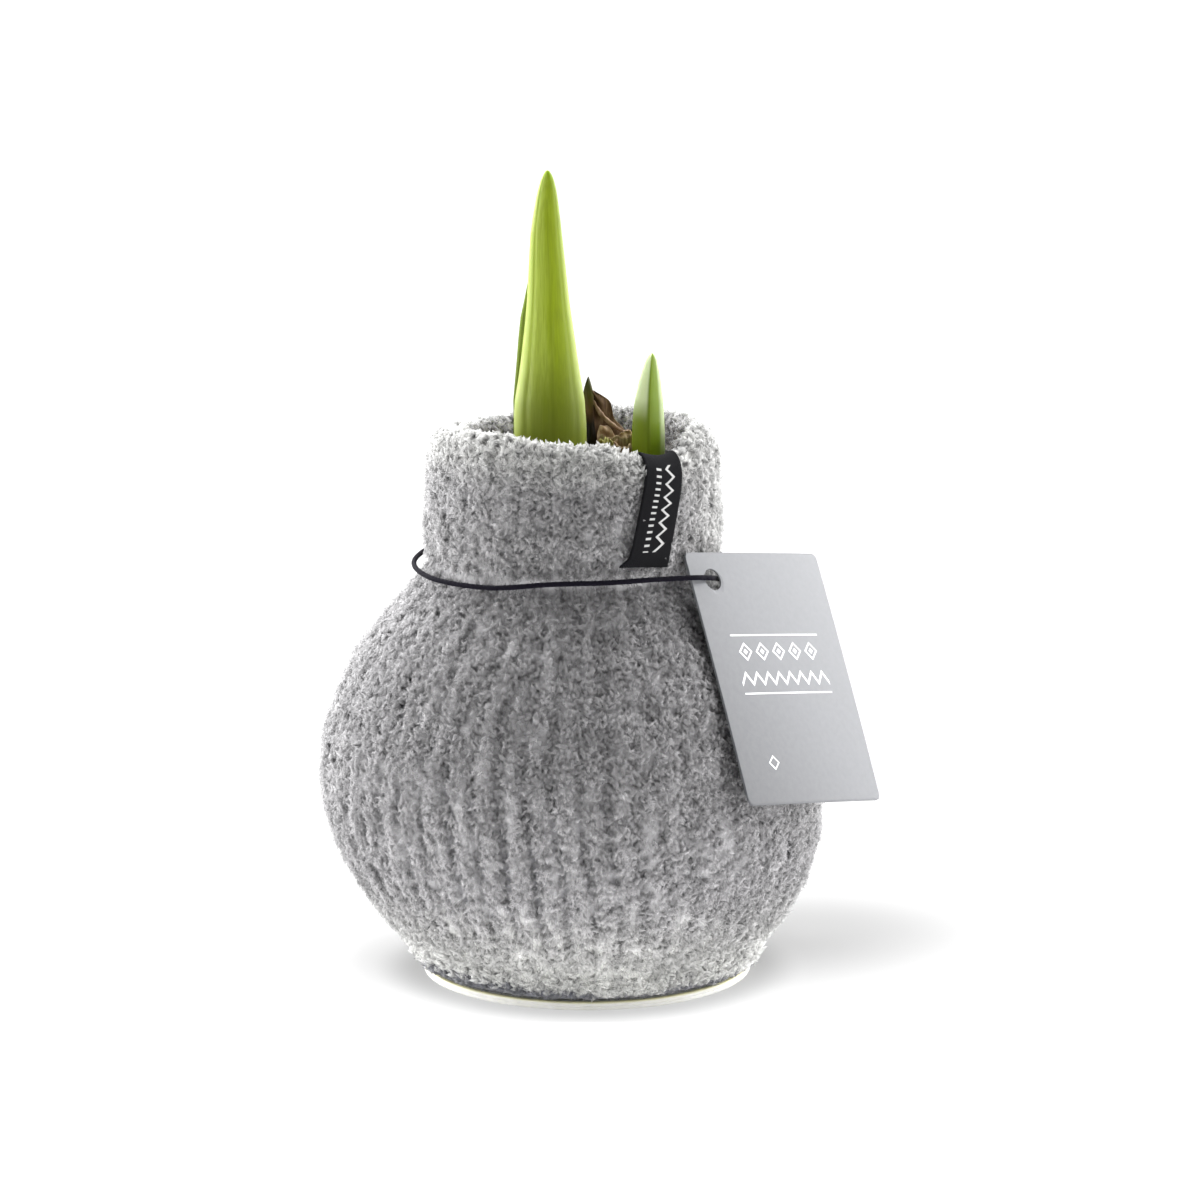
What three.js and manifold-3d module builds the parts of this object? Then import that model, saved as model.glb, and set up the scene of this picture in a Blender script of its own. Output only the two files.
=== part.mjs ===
// A forced amaryllis bulb in a knitted chenille sleeve with a turned-down cuff. The bulb stands on a round
// base disc. Two clasped leaves and a short side shoot rise out of its neck between dried brown scales. A
// woven label is folded over the cuff, and a thin elastic cord round the neck carries a card tag.
// Millimetres, +Z up. The origin is the centre of the disc's underside. -Y is the front, +X the tag's side.
// Azimuths are in degrees round the sleeve: 0 is the front, 90 the tag's side, 180 the back.
import * as THREE from 'three';
import { mergeVertices } from 'three/addons/utils/BufferGeometryUtils.js';
import Module from 'manifold-3d';

const wasm = await Module();
wasm.setup();

// ---------------------------------------------------------------- driving dimensions
const GAP = 0.3; // air between pieces that rest on each other

const DISC = { radius: 32.9, height: 1.7, round: 0.4, groove: 0.3 };

const SLEEVE_HEIGHT = 111; // mean height of the cuff's crest
const SLEEVE_RADIUS = 50; // at the widest course, over the pile
const BELLY_X = -3.9; // the bulb leans to one side over its foot
const NECK_X = -2.75;
const WALES = 56; // knitted ribs round the sleeve
const RIB_DEPTH = 1.1;
const STITCH_DEPTH = 0.45;
const BODY_SPANS = 22; // rows of the sleeve's body between its hem and the cuff

const CUFF = { radius: 29.3, foot: 84.6, crest: 25.4, inside: 22.2, ribDepth: 0.7 };
const CUFF_SPANS = 12; // rows of the cuff, from its foot over the crest and into the mouth
const CUFF_SPANS_TO_CREST = 8;

const BULB_INSET = 0.5; // from the knit's hollow to the bulb's tunic
const NECK_RADIUS = 20.6;
const NECK_TOP = 101.5; // where the bulb's neck was cut
const WELL_TOP = NECK_TOP + 9; // above every cut scale

const SHOOT = {
  x: -7.2, y: -7, halfWidth: 7.15, flatness: 0.71, foot: 93, straight: 112, tip: 162, bow: 0.8,
};
const LEAF_INSET = 0.3; // each clasped leaf sits this far to its own side of the shoot
const BACK_LEAF_TIP = 154.8;
const BACK_LEAF_CLOSING = 5; // it draws in over this height below its tip
const SIDE_SHOOT = {
  x: 12.1, y: -5, radius: 3.3, foot: 93, straight: 110, tip: 125.8, pinch: 0.16, lean: 0.7,
};
const TAPER = 0.58; // power by which a shoot's width falls off towards its tip
const TIP_RADIUS = 0.3; // of every shoot's blunt tip

const LABEL = { width: 8.7, thickness: 0.6, footAzimuth: 28.3, crestAzimuth: 39, endAzimuth: 44 };
const LABEL_CLEAR = GAP + 0.15; // from the cuff's skin to the label
const LABEL_SPAN = { from: 0.05, crest: 0.56, to: 0.86 }; // shares of the cuff's section that it covers

const CORD_RADIUS = 0.6;

const TAG = { width: 38.8, height: 51.7, thickness: 0.6, corner: 1.2 };
const TAG_HOLE = { radius: 2.2, fromLeft: 6.05, fromTop: 5.66 };
const TAG_CENTRE = new THREE.Vector3(38.6, -17.65, 63.53);
const TAG_YAW = 50.1; // turned from facing the front towards +X
const TAG_PITCH = -27.1; // its foot swings out over the sleeve's belly
const TAG_ROLL = 9.3;

// The sleeve's outside from the hem up to the cuff, and its hollow from the hem up, as [radius, height]
const OUTSIDE = [
  [32.6, 2.1], [34.2, 3.9], [37.1, 8], [42.0, 14], [46.0, 21], [48.9, 28.5], [SLEEVE_RADIUS, 38.5],
  [48.8, 49], [44.7, 60], [40.3, 68.3], [34.2, 76], [30.9, 80.3], [28.7, 83],
];
const HOLLOW = [
  [25.4, 2.1], [25.2, 4.3], [28.0, 7], [35.6, 11.5], [43.2, 24], [45.6, 40], [39.6, 63], [28.3, 77],
  [23.1, 87],
];

// ---------------------------------------------------------------- helpers
const radians = THREE.MathUtils.degToRad;
const smoothstep = THREE.MathUtils.smoothstep;
const spline = (pairs) => new THREE.SplineCurve(pairs.map(([a, b]) => new THREE.Vector2(a, b)));

// x of the sleeve's and the bulb's own axis at height z
const axisX = (z) => BELLY_X * smoothstep(z, 0, 52) + (NECK_X - BELLY_X) * smoothstep(z, 60, 86);

function aroundAxis(azimuth, radius, z) {
  const a = radians(azimuth);
  return new THREE.Vector3(axisX(z) + radius * Math.sin(a), -radius * Math.cos(a), z);
}

// smooth bump of height 1 centred on an azimuth, `half` degrees from its middle to its foot
function lobe(azimuth, centre, half) {
  const away = Math.abs(THREE.MathUtils.euclideanModulo(azimuth - centre + 180, 360) - 180);
  return away >= half ? 0 : 0.5 + 0.5 * Math.cos((Math.PI * away) / half);
}

// ring of an ellipse, counted anticlockwise seen from above
function ellipseRing(x, y, z, halfWidth, halfDepth, sides) {
  return Array.from({ length: sides }, (_, i) => {
    const a = (2 * Math.PI * i) / sides;
    return new THREE.Vector3(x + halfWidth * Math.cos(a), y + halfDepth * Math.sin(a), z);
  });
}

// Triangles that fill one end ring around its middle
function capIndex(points, first, count, facesBack) {
  const middle = new THREE.Vector3();
  for (let j = 0; j < count; j++) middle.addScaledVector(points[first + j], 1 / count);
  const centre = points.push(middle) - 1;
  const index = [];
  for (let j = 0; j < count; j++) {
    const here = first + j;
    const next = first + ((j + 1) % count);
    index.push(centre, ...(facesBack ? [next, here] : [here, next]));
  }
  return index;
}

// Closed skin over equal rings, each counted anticlockwise seen from the next. Either both ends get a cap, or
// the last ring joins the first.
function loft(rings, joinEnds = false) {
  const count = rings[0].length;
  const points = rings.flat();
  const index = [];
  const spans = joinEnds ? rings.length : rings.length - 1;
  for (let i = 0; i < spans; i++) {
    const low = i * count;
    const high = ((i + 1) % rings.length) * count;
    for (let j = 0; j < count; j++) {
      const k = (j + 1) % count;
      index.push(low + j, low + k, high + k, low + j, high + k, high + j);
    }
  }
  if (!joinEnds) {
    index.push(...capIndex(points, 0, count, true));
    index.push(...capIndex(points, (rings.length - 1) * count, count, false));
  }
  const geometry = new THREE.BufferGeometry().setFromPoints(points);
  geometry.setIndex(index);
  return geometry;
}

function solid(geometry) {
  const bare = geometry.clone();
  bare.deleteAttribute('normal');
  bare.deleteAttribute('uv');
  const merged = mergeVertices(bare, 1e-4);
  return new wasm.Manifold(
    new wasm.Mesh({
      numProp: 3,
      vertProperties: new Float32Array(merged.attributes.position.array),
      triVerts: new Uint32Array(merged.index.array),
    }),
  );
}

function geometryOf(body) {
  const mesh = body.getMesh();
  const geometry = new THREE.BufferGeometry();
  geometry.setAttribute('position', new THREE.BufferAttribute(new Float32Array(mesh.vertProperties), 3));
  geometry.setIndex(new THREE.BufferAttribute(new Uint32Array(mesh.triVerts), 1));
  return geometry;
}

function piece(name, geometry, color, roughness) {
  geometry.computeVertexNormals();
  const mesh = new THREE.Mesh(geometry, new THREE.MeshStandardMaterial({ color, roughness, metalness: 0 }));
  mesh.name = name;
  return mesh;
}

// ---------------------------------------------------------------- base disc
// A flat disc with rounded edges and a fine groove round the middle of its rim
function baseDisc() {
  const { radius, height, round, groove } = DISC;
  const outline = [
    [0, 0], [radius - round, 0], [radius, round * 0.7], [radius, height * 0.4],
    [radius - groove, height * 0.48], [radius, height * 0.56], [radius, height - round * 0.7],
    [radius - round, height], [0, height],
  ];
  return new THREE.LatheGeometry(outline.map(([r, z]) => new THREE.Vector2(r, z)), 48).rotateX(Math.PI / 2);
}

// ---------------------------------------------------------------- sleeve
// How far the cuff's crest stands above or below its mean height. The label pulls it down.
function crestRise(azimuth) {
  return (
    1.6 * lobe(azimuth, -42, 50) - 1.8 * lobe(azimuth, -135, 60) + 1.6 * lobe(azimuth, 72, 28) -
    3.8 * lobe(azimuth, 44, 36)
  );
}

const crestLift = (azimuth, z) => crestRise(azimuth) * smoothstep(z, 90, SLEEVE_HEIGHT);

// The cuff's skin in section: up its outside, over the crest and down into the mouth
function cuffSection() {
  const { radius, foot, crest, inside } = CUFF;
  const top = SLEEVE_HEIGHT;
  return spline([
    [radius, foot], [radius + 0.3, foot + 6], [radius, top - 13], [radius - 0.6, top - 5.5],
    [radius - 1.7, top - 1.7], [crest, top], [inside + 0.9, top - 1.7], [inside, top - 5.5],
    [inside, top - 14],
  ]);
}

function knitSleeve() {
  const columns = 2 * WALES;
  const body = spline(OUTSIDE).getSpacedPoints(BODY_SPANS);
  const cuff = cuffSection().getSpacedPoints(CUFF_SPANS);
  const hollow = HOLLOW.map(([r, z]) => new THREE.Vector2(r, z)).reverse();
  const crestRow = body.length + CUFF_SPANS_TO_CREST;
  const rings = [...body, ...cuff, ...hollow].map(({ x: radius, y: z }, row) => {
    const depth = row < 2 || row >= crestRow ? 0 : row < body.length ? RIB_DEPTH : CUFF.ribDepth;
    return Array.from({ length: columns }, (_, column) => {
      const azimuth = (360 * column) / columns;
      const betweenRibs = column % 2;
      const stitch = depth && !betweenRibs && row % 2 ? STITCH_DEPTH : 0;
      const point = aroundAxis(azimuth, radius - betweenRibs * depth - stitch, z);
      point.z += crestLift(azimuth, z);
      return point;
    });
  });
  return loft(rings, true);
}

// ---------------------------------------------------------------- bulb
// The bulb's body, lightly creased lengthways, on its flat-cut basal plate
function bulbBody() {
  const sides = 44;
  const outline = [
    [18, DISC.height + GAP], [24.2, 4.3], ...HOLLOW.slice(2, -1).map(([r, z]) => [r - BULB_INSET, z]),
    [22.2, 87], [NECK_RADIUS, 92], [NECK_RADIUS, NECK_TOP],
  ];
  const rings = outline.map(([radius, z]) =>
    Array.from({ length: sides }, (_, i) => aroundAxis((360 * i) / sides, radius - 0.35 * (i % 2), z)),
  );
  return solid(loft(rings));
}

// The papery tunic's torn edge: a thin ring round the neck with a ragged top
function tornTunic() {
  const sides = 44;
  const ragged = (i) => 0.9 * Math.abs(Math.sin(i * 1.9)) + 0.5 * Math.sin(i * 0.7);
  const rows = [
    [NECK_RADIUS - 0.5, -5, 0], [NECK_RADIUS + 0.3, -1.5, 0], [NECK_RADIUS, 1.2, 1],
    [NECK_RADIUS - 0.9, 1.2, 1], [NECK_RADIUS - 1.6, -5, 0],
  ];
  const rings = rows.map(([radius, rise, torn]) =>
    Array.from({ length: sides }, (_, i) =>
      aroundAxis((360 * i) / sides, radius, NECK_TOP + rise + torn * ragged(i)),
    ),
  );
  return solid(loft(rings, true));
}

// A cut inner scale: a low oval step with a bevelled edge
function cutScale({ x, y, halfWidth, halfDepth, top }) {
  const sides = 28;
  const bevel = 0.7;
  return solid(loft([
    ellipseRing(x, y, NECK_TOP - 3, halfWidth, halfDepth, sides),
    ellipseRing(x, y, top - bevel, halfWidth, halfDepth, sides),
    ellipseRing(x, y, top, halfWidth - bevel, halfDepth - bevel, sides),
  ]));
}

// A dried scale: a thin crumpled blade, full width up to its shoulder and drawn out to one side at its tip
function driedScale({ x, y, turn, width, top, shoulder, skew, curl }) {
  const foot = NECK_TOP - 2.5;
  const across = 8;
  const up = 8;
  const crumple = 0.5;
  const yaw = radians(turn);
  const rings = [];
  for (let j = 0; j <= up; j++) {
    const v = j / up;
    const taper = Math.pow(1 - 0.96 * Math.max(0, (v - shoulder) / (1 - shoulder)), 0.85);
    const front = [];
    const back = [];
    for (let i = 0; i <= across; i++) {
      const u = (2 * i) / across - 1;
      const side = (width / 2) * (u * taper + skew * (1 - taper));
      const depth = curl * u * u * taper + crumple * v * Math.sin(4.2 * u + 5 * v);
      const half = (0.34 + 0.14 * Math.sqrt(1 - u * u)) * (1 - 0.1 * v);
      for (const [face, offset] of [[front, -half], [back, half]]) {
        const local = new THREE.Vector3(side, depth + offset, foot + v * (top - foot));
        face.push(local.applyAxisAngle(new THREE.Vector3(0, 0, 1), yaw).add(new THREE.Vector3(x, y, 0)));
      }
    }
    rings.push([...front, ...back.reverse()]);
  }
  return solid(loft(rings));
}

// Straight oval hole that a shoot stands in, a gap wider than the shoot
function well(x, y, halfWidth, halfDepth, foot) {
  const clear = GAP + 0.1;
  const rings = [foot - GAP, WELL_TOP].map((z) =>
    ellipseRing(x, y, z, halfWidth + clear, halfDepth + clear, 32),
  );
  return solid(loft(rings));
}

function bulb() {
  const grown = [
    tornTunic(),
    cutScale({ x: -1.2, y: -2.2, halfWidth: 16.5, halfDepth: 14, top: 103 }),
    cutScale({ x: 0.5, y: -3.4, halfWidth: 12, halfDepth: 8.6, top: 105.4 }),
    cutScale({ x: 4.4, y: -4.8, halfWidth: 5.4, halfDepth: 4, top: 108.9 }),
    driedScale({ x: 4.9, y: 0.6, turn: 6, width: 7.8, top: 118, shoulder: 0.48, skew: -0.9, curl: 0.8 }),
    driedScale({ x: 2.1, y: 1.9, turn: -12, width: 3.2, top: 119.8, shoulder: 0.2, skew: -0.85, curl: 0.5 }),
  ];
  const shootDepth = SHOOT.halfWidth * SHOOT.flatness + GAP / 2;
  const wells = [
    well(SHOOT.x, SHOOT.y, SHOOT.halfWidth, shootDepth, SHOOT.foot),
    well(SIDE_SHOOT.x, SIDE_SHOOT.y, SIDE_SHOOT.radius, SIDE_SHOOT.radius, SIDE_SHOOT.foot),
  ];
  const whole = grown.reduce((sum, scale) => sum.add(scale), bulbBody());
  return geometryOf(wells.reduce((rest, hole) => rest.subtract(hole), whole));
}

// ---------------------------------------------------------------- shoots
// Share of its full width that a shoot has at height z: all of it up to `straight`, then less to its tip
function taper(z, straight, tip) {
  const left = THREE.MathUtils.clamp((tip - z) / (tip - straight), 0, 1);
  return Math.pow(left, TAPER);
}

// Heights of the rings between foot and tip, closer together towards the tip
const ringHeights = (foot, tip, rows) =>
  Array.from({ length: rows + 1 }, (_, row) => foot + (tip - foot) * (1 - Math.pow(1 - row / rows, 1.6)));

// One of the two clasped leaves: flat inside, rounded outside. `facing` is 1 for the front leaf and -1 for
// the back one.
function claspedLeaf(facing, tip) {
  const arc = 10;
  const rings = ringHeights(SHOOT.foot, tip, 18).map((z) => {
    const ending = tip < SHOOT.tip ? Math.pow(Math.min(1, (tip - z) / BACK_LEAF_CLOSING), 0.6) : 1;
    const full = SHOOT.halfWidth * taper(z, SHOOT.straight, SHOOT.tip) * ending;
    const halfWidth = Math.max(TIP_RADIUS, full - LEAF_INSET);
    const above = Math.max(0, (z - SHOOT.straight) / (SHOOT.tip - SHOOT.straight));
    const bow = SHOOT.bow * Math.sin(0.83 * Math.PI * above);
    const x = SHOOT.x + LEAF_INSET * facing * Math.min(1, full / 3) - bow;
    const inside = SHOOT.y - (GAP / 2) * facing;
    const ring = [];
    for (let i = 0; i <= arc; i++) {
      const a = (Math.PI * i) / arc;
      const depth = SHOOT.flatness * halfWidth * Math.sin(a);
      ring.push(new THREE.Vector3(x - halfWidth * Math.cos(a), inside - depth * facing, z));
    }
    for (const side of [0.5, 0, -0.5]) ring.push(new THREE.Vector3(x + side * halfWidth, inside, z));
    return facing > 0 ? ring : ring.reverse();
  });
  return loft(rings);
}

// The short side shoot: a small spear, pinched between its keels, so that one keel faces the front
function sideShoot() {
  const { x, y, radius, foot, straight, tip, pinch, lean } = SIDE_SHOOT;
  const sides = 16;
  const rings = ringHeights(foot, tip, 13).map((z) => {
    const halfWidth = Math.max(TIP_RADIUS, radius * taper(z, straight, tip));
    const above = Math.max(0, (z - straight) / (tip - straight));
    return Array.from({ length: sides }, (_, i) => {
      const a = (2 * Math.PI * i) / sides;
      const reach = halfWidth * (1 - pinch * Math.abs(Math.sin(2 * a)));
      return new THREE.Vector3(x + lean * above * above + reach * Math.cos(a), y + reach * Math.sin(a), z);
    });
  });
  return loft(rings);
}

// ---------------------------------------------------------------- label
// A woven strip folded over the cuff and a little aslant: up the outside, over the crest and into the mouth
function wovenLabel() {
  const { width, thickness, footAzimuth, crestAzimuth, endAzimuth } = LABEL;
  const section = cuffSection();
  const { from, crest, to } = LABEL_SPAN;
  const steps = 24;
  const across = 4;
  const rings = [];
  for (let i = 0; i <= steps; i++) {
    const along = from + ((to - from) * i) / steps;
    const { x: skinRadius, y: skinZ } = section.getPointAt(along);
    const tangent = section.getTangentAt(along);
    const outside = THREE.MathUtils.lerp(footAzimuth, crestAzimuth, Math.min(1, along / crest));
    const azimuth = outside + (endAzimuth - crestAzimuth) * Math.max(0, (along - crest) / (to - crest));
    const faces = [1, -1].map((side) =>
      Array.from({ length: across + 1 }, (_, j) => {
        const away = LABEL_CLEAR + ((1 + side) * thickness) / 2;
        const radius = skinRadius + tangent.y * away;
        const turn = azimuth + ((j / across - 0.5) * width * 180) / Math.PI / skinRadius;
        const point = aroundAxis(turn, radius, skinZ - tangent.x * away);
        point.z += crestLift(turn, skinZ);
        return point;
      }),
    );
    rings.push([...faces[0], ...faces[1].reverse()]);
  }
  return loft(rings);
}

// ---------------------------------------------------------------- hang tag
const holeSide = TAG_HOLE.fromLeft - TAG.width / 2;
const holeUp = TAG.height / 2 - TAG_HOLE.fromTop;

const tagTurn = new THREE.Euler(radians(TAG_PITCH), radians(TAG_ROLL), radians(TAG_YAW), 'ZXY');
const tagPlacement = new THREE.Matrix4().compose(
  TAG_CENTRE, new THREE.Quaternion().setFromEuler(tagTurn), new THREE.Vector3(1, 1, 1),
);

// A point of the tag's own frame, given as distance right of its middle, up from it and out of its front face
const onTag = (side, up, out) => new THREE.Vector3(side, -out, up).applyMatrix4(tagPlacement);

function hangTag() {
  const { width, height, thickness, corner } = TAG;
  const outline = new THREE.Shape();
  const corners = [[1, -1, -90], [1, 1, 0], [-1, 1, 90], [-1, -1, 180]];
  for (const [right, up, start] of corners) {
    const centre = [right * (width / 2 - corner), up * (height / 2 - corner)];
    outline.absarc(...centre, corner, radians(start), radians(start + 90), false);
  }
  outline.closePath();
  outline.holes.push(new THREE.Path().absarc(holeSide, holeUp, TAG_HOLE.radius, 0, 2 * Math.PI, true));
  const settings = { depth: thickness, bevelEnabled: false, curveSegments: 6 };
  const card = new THREE.ExtrudeGeometry(outline, settings);
  return card.translate(0, 0, -thickness / 2).rotateX(Math.PI / 2).applyMatrix4(tagPlacement);
}

// ---------------------------------------------------------------- elastic cord
// A closed loop round the neck: over the tag's left margin, in through the hole and on behind the tag
function elasticCord() {
  const past = TAG.thickness / 2 + CORD_RADIUS + GAP;
  const throughTag = [
    onTag(holeSide - 6.6, holeUp, past), onTag(holeSide - 3.7, holeUp, past),
    onTag(holeSide - 2.1, holeUp, past), onTag(holeSide, holeUp + 0.4, 0),
    onTag(holeSide + 2.1, holeUp + 0.8, -past),
  ];
  const roundNeck = [
    [72, 31.8, 81.7], [96, 31.6, 82.0], [122, 31.1, 83.2], [150, 30.8, 84.4], [180, 30.8, 84.4],
    [210, 30.8, 84.2], [238, 31.1, 83.8], [262, 31.5, 83.2], [284, 31.5, 82.9], [306, 31.3, 82.8],
    [330, 31.0, 83.2], [352, 30.9, 84.6], [374, 31.1, 84.9], [390, 31.9, 85.0],
  ].map(([azimuth, radius, z]) => aroundAxis(azimuth, radius, z));
  const points = [...throughTag, ...roundNeck];
  const route = new THREE.CatmullRomCurve3(points, true, 'centripetal');
  const steps = 4 * points.length;
  const sides = 8;
  const rings = [];
  for (let i = 0; i < steps; i++) {
    const centre = route.getPoint(i / steps);
    const tangent = route.getTangent(i / steps);
    const across = new THREE.Vector3().crossVectors(tangent, new THREE.Vector3(0, 0, 1)).normalize();
    const below = new THREE.Vector3().crossVectors(tangent, across);
    rings.push(
      Array.from({ length: sides }, (_, j) => {
        const a = (2 * Math.PI * j) / sides;
        const point = centre.clone().addScaledVector(across, CORD_RADIUS * Math.cos(a));
        return point.addScaledVector(below, CORD_RADIUS * Math.sin(a));
      }),
    );
  }
  return loft(rings, true);
}

// ---------------------------------------------------------------- assembly
const part = new THREE.Group();
part.add(
  piece('base_disc', baseDisc(), 0xe6e4d2, 0.35),
  piece('knit_sleeve', knitSleeve(), 0x9a9899, 0.95),
  piece('bulb', bulb(), 0x7a5434, 0.75),
  piece('leaf_front', claspedLeaf(1, SHOOT.tip), 0x8aa034, 0.4),
  piece('leaf_back', claspedLeaf(-1, BACK_LEAF_TIP), 0x7c9430, 0.4),
  piece('side_shoot', sideShoot(), 0x8fae3c, 0.4),
  piece('woven_label', wovenLabel(), 0x1b1b1d, 0.7),
  piece('elastic_cord', elasticCord(), 0x1c1a22, 0.6),
  piece('hang_tag', hangTag(), 0xc3c5c9, 0.35),
);

export default part;
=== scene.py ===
"""Looks of a forced amaryllis bulb in a grey chenille knit sleeve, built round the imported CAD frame.

Shapes are in millimetres and become metres where a mesh is made; materials, floor and lights are in metres.
-Y is the front and +X the tag's side. Azimuths are degrees round the sleeve: 0 is the front, 90 the tag's
side, 180 the back. A length s runs along the knit's section, up from the hem or from the cuff's lower edge.
"""
import math
from functools import partial, reduce
import bpy
import numpy as np
from mathutils import Matrix, Vector


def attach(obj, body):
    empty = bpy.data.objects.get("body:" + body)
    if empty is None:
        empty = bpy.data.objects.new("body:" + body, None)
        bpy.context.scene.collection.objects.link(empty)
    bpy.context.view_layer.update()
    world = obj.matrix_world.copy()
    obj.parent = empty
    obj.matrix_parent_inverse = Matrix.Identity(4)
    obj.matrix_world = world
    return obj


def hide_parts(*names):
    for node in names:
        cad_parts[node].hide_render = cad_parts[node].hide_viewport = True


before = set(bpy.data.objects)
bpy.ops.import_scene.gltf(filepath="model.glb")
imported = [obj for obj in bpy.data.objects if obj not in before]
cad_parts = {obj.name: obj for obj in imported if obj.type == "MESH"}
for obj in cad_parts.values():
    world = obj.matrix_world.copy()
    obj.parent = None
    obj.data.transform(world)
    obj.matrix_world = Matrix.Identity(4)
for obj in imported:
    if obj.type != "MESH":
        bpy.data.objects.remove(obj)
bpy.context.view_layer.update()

MM = 0.001
PI = math.pi

# ---- sizes and routes, as in the CAD source
DISC = dict(radius=32.9, height=1.7)
SLEEVE_HEIGHT = 111.0
SLEEVE_RADIUS = 50.0
BELLY_X = -3.9        # how far the sleeve leans to the left at its belly, and at its neck
NECK_X = -2.75
WALES = 56            # ribs round the sleeve
CUFF = dict(radius=29.3, foot=84.6, crest=25.4, inside=22.2)
OUTSIDE = [
    (32.6, 2.1), (34.2, 3.9), (37.1, 8), (42.0, 14), (46.0, 21), (48.9, 28.5), (SLEEVE_RADIUS, 38.5),
    (48.8, 49), (44.7, 60), (40.3, 68.3), (34.2, 76), (30.9, 80.3), (28.7, 83),
]
HOLLOW = [
    (25.4, 2.1), (25.2, 4.3), (28.0, 7), (35.6, 11.5), (43.2, 24), (45.6, 40), (39.6, 63), (28.3, 77),
    (23.1, 87),
]
BULB = dict(base=18.0, neck_radius=20.6, neck_top=101.5)
SHOOT = dict(x=-7.2, y=-7.0, flatness=0.71, foot=93.0, straight=112.0, tip=162.0, bow=0.8)
BACK_LEAF_TIP = 154.8
SIDE_SHOOT = dict(x=12.1, y=-5.0, foot=93.0, straight=110.0, tip=125.8, lean=0.7)
LABEL = dict(width=8.7, thickness=0.6, azimuths=(28.3, 39.0, 44.0))    # azimuths of its foot, crest and end
LABEL_SPAN = (0.05, 0.56, 0.86)    # shares of the cuff's section: its foot, the crest, its end inside
CORD_RADIUS = 0.6
ROUND_NECK = [
    (72, 31.8, 81.7), (96, 31.6, 82.0), (122, 31.1, 83.2), (150, 30.8, 84.4), (180, 30.8, 84.4),
    (210, 30.8, 84.2), (238, 31.1, 83.8), (262, 31.5, 83.2), (284, 31.5, 82.9), (306, 31.3, 82.8),
    (330, 31.0, 83.2), (352, 30.9, 84.6), (374, 31.1, 84.9), (390, 31.9, 85.0),
]
TAG = dict(width=38.8, height=51.7, thickness=0.6, corner=1.2)
HOLE = dict(radius=2.2, from_left=6.05, from_top=5.66)
TAG_CENTRE = (38.6, -17.65, 63.53)
TAG_TURNS = (50.1, -27.1, 9.3)     # about Z, then its own X, then its own Y
GAP = 0.3             # between neighbouring pieces

# ---- the shoots' half-widths at heights
SHOOT_WIDTHS = [
    (93, 7.15), (110.8, 7.16), (116.8, 7.0), (120.7, 6.5), (124.7, 6.0), (128.7, 5.57), (132.6, 5.08),
    (136.5, 4.6), (140.5, 4.19), (144.4, 3.78), (148.3, 3.31), (152.2, 2.82), (156.2, 2.24), (158.1, 1.9),
    (160.1, 1.36), (161.2, 0.85), (161.8, 0.42), (162, 0.05),
]
SIDE_WIDTHS = [
    (93, 3.3), (108.5, 3.25), (112, 3.15), (116.4, 2.8), (118.4, 2.45), (120.4, 2.12), (122.4, 1.67),
    (124.4, 1.1), (125.3, 0.6), (125.8, 0.05),
]
SIDE_PINCH = 0.2      # how much the side shoot narrows between its keels

# ---- the knit's finish
COURSE = 3.7          # height of one knitted row
RIB = 2.2             # how deep the grooves between the ribs are
CUFF_RIB = 0.75       # the same in the cuff, as a share
STITCH = 0.45         # how deep the dips between stitches are
FAINT = 0.15          # how much of a rib shows where the knit isn't taut
# Where the knit is taut, so that its ribs stand out: degrees, and lengths s where this starts and fades
TAUT = dict(azimuth=-38, half=68, from_s=(8, 20), to_s=(36, 60), power=0.6, faded=0.8)
GROUND_ROWS = (105, 54)    # rows of points over the body and over the turned cuff
GROUND_STEPS = 7      # points across a rib
PILE = 0.95           # how far the knit's ground lies below its skin, for the pile on it
ROOTED = 0.2          # how far below the ground a strand starts
STRAND_LENGTH = (1.8, 3.0)
STRAND_RADIUS = 0.46
STRAND_RISE = (8, 46)      # degrees from upright of a strand's lower half, and of its upper half
STRAND_LAY = (48, 90)
STRAND_SLANT = 44     # degrees by which a strand strays from its column, and its tip to a side, as a share
STRAND_SWERVE = 0.35
DENSITY = 3.4
SEED = 11
PIT = 1.1             # size of the small bare spots in the pile, and how many of these places are bare
PIT_SHARE = 0.15
HEM_SPREAD = 0.9      # how far the pile stands out at the sleeve's foot
FOOT_RISE = 0.8       # how much strands turn up at the foot, and how much the pile there is lit from above
FOOT_LIT = 0.9
# Width of the band of painted shade along the sleeve's foot, where the hem tucks under, at azimuths
HEM_SHADE_BAND = [
    (-90, 0.8), (-76, 1.3), (-60, 2.6), (-43, 2.6), (-30, 2.1), (-19, 1.9), (-5, 1.7), (2, 0.9), (10, 0.4),
    (20, 0.5), (25, 1.3), (33, 1.5), (40, 1.2), (52, 0.7), (72, 0.3), (110, 0.4), (180, 0.8), (270, 0.8),
]
GROOVE_PAINTED_SHADE = 1.8    # painted shade: how much darker the pile is in the grooves between the ribs
LABEL_CLEAR = 0.1     # from the cuff's skin to the label
KICK = dict(out=0.6, turn=3.4, rise=0.9)    # how the label's lower left corner stands off

# ---- stage, in metres and watts; the camera in millimetres, degrees and pixels
CAMERA = dict(x=2.6, y=-990.0, z=278.0, down=11.57, focal_px=5078.0, frame_px=1200.0, sensor=36.0)
# The world's light: the level before and behind, the share left at the top, and what the sides multiply
WORLD = dict(front=0.225, back=2.1, top=0.40, left=6.2, right=5.9)
LIGHT_TARGET = (0, 0, 0.07)
LIGHTS = [
    ("left_box", (-0.62, -0.06, 0.28), (0.35, 0.6), 0.4),
    ("right_box", (0.80, 0.02, 0.34), (0.4, 0.6), 0.4),
    ("back_box", (-0.10, 0.42, 0.95), (0.9, 0.6), 20.0),
]
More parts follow.
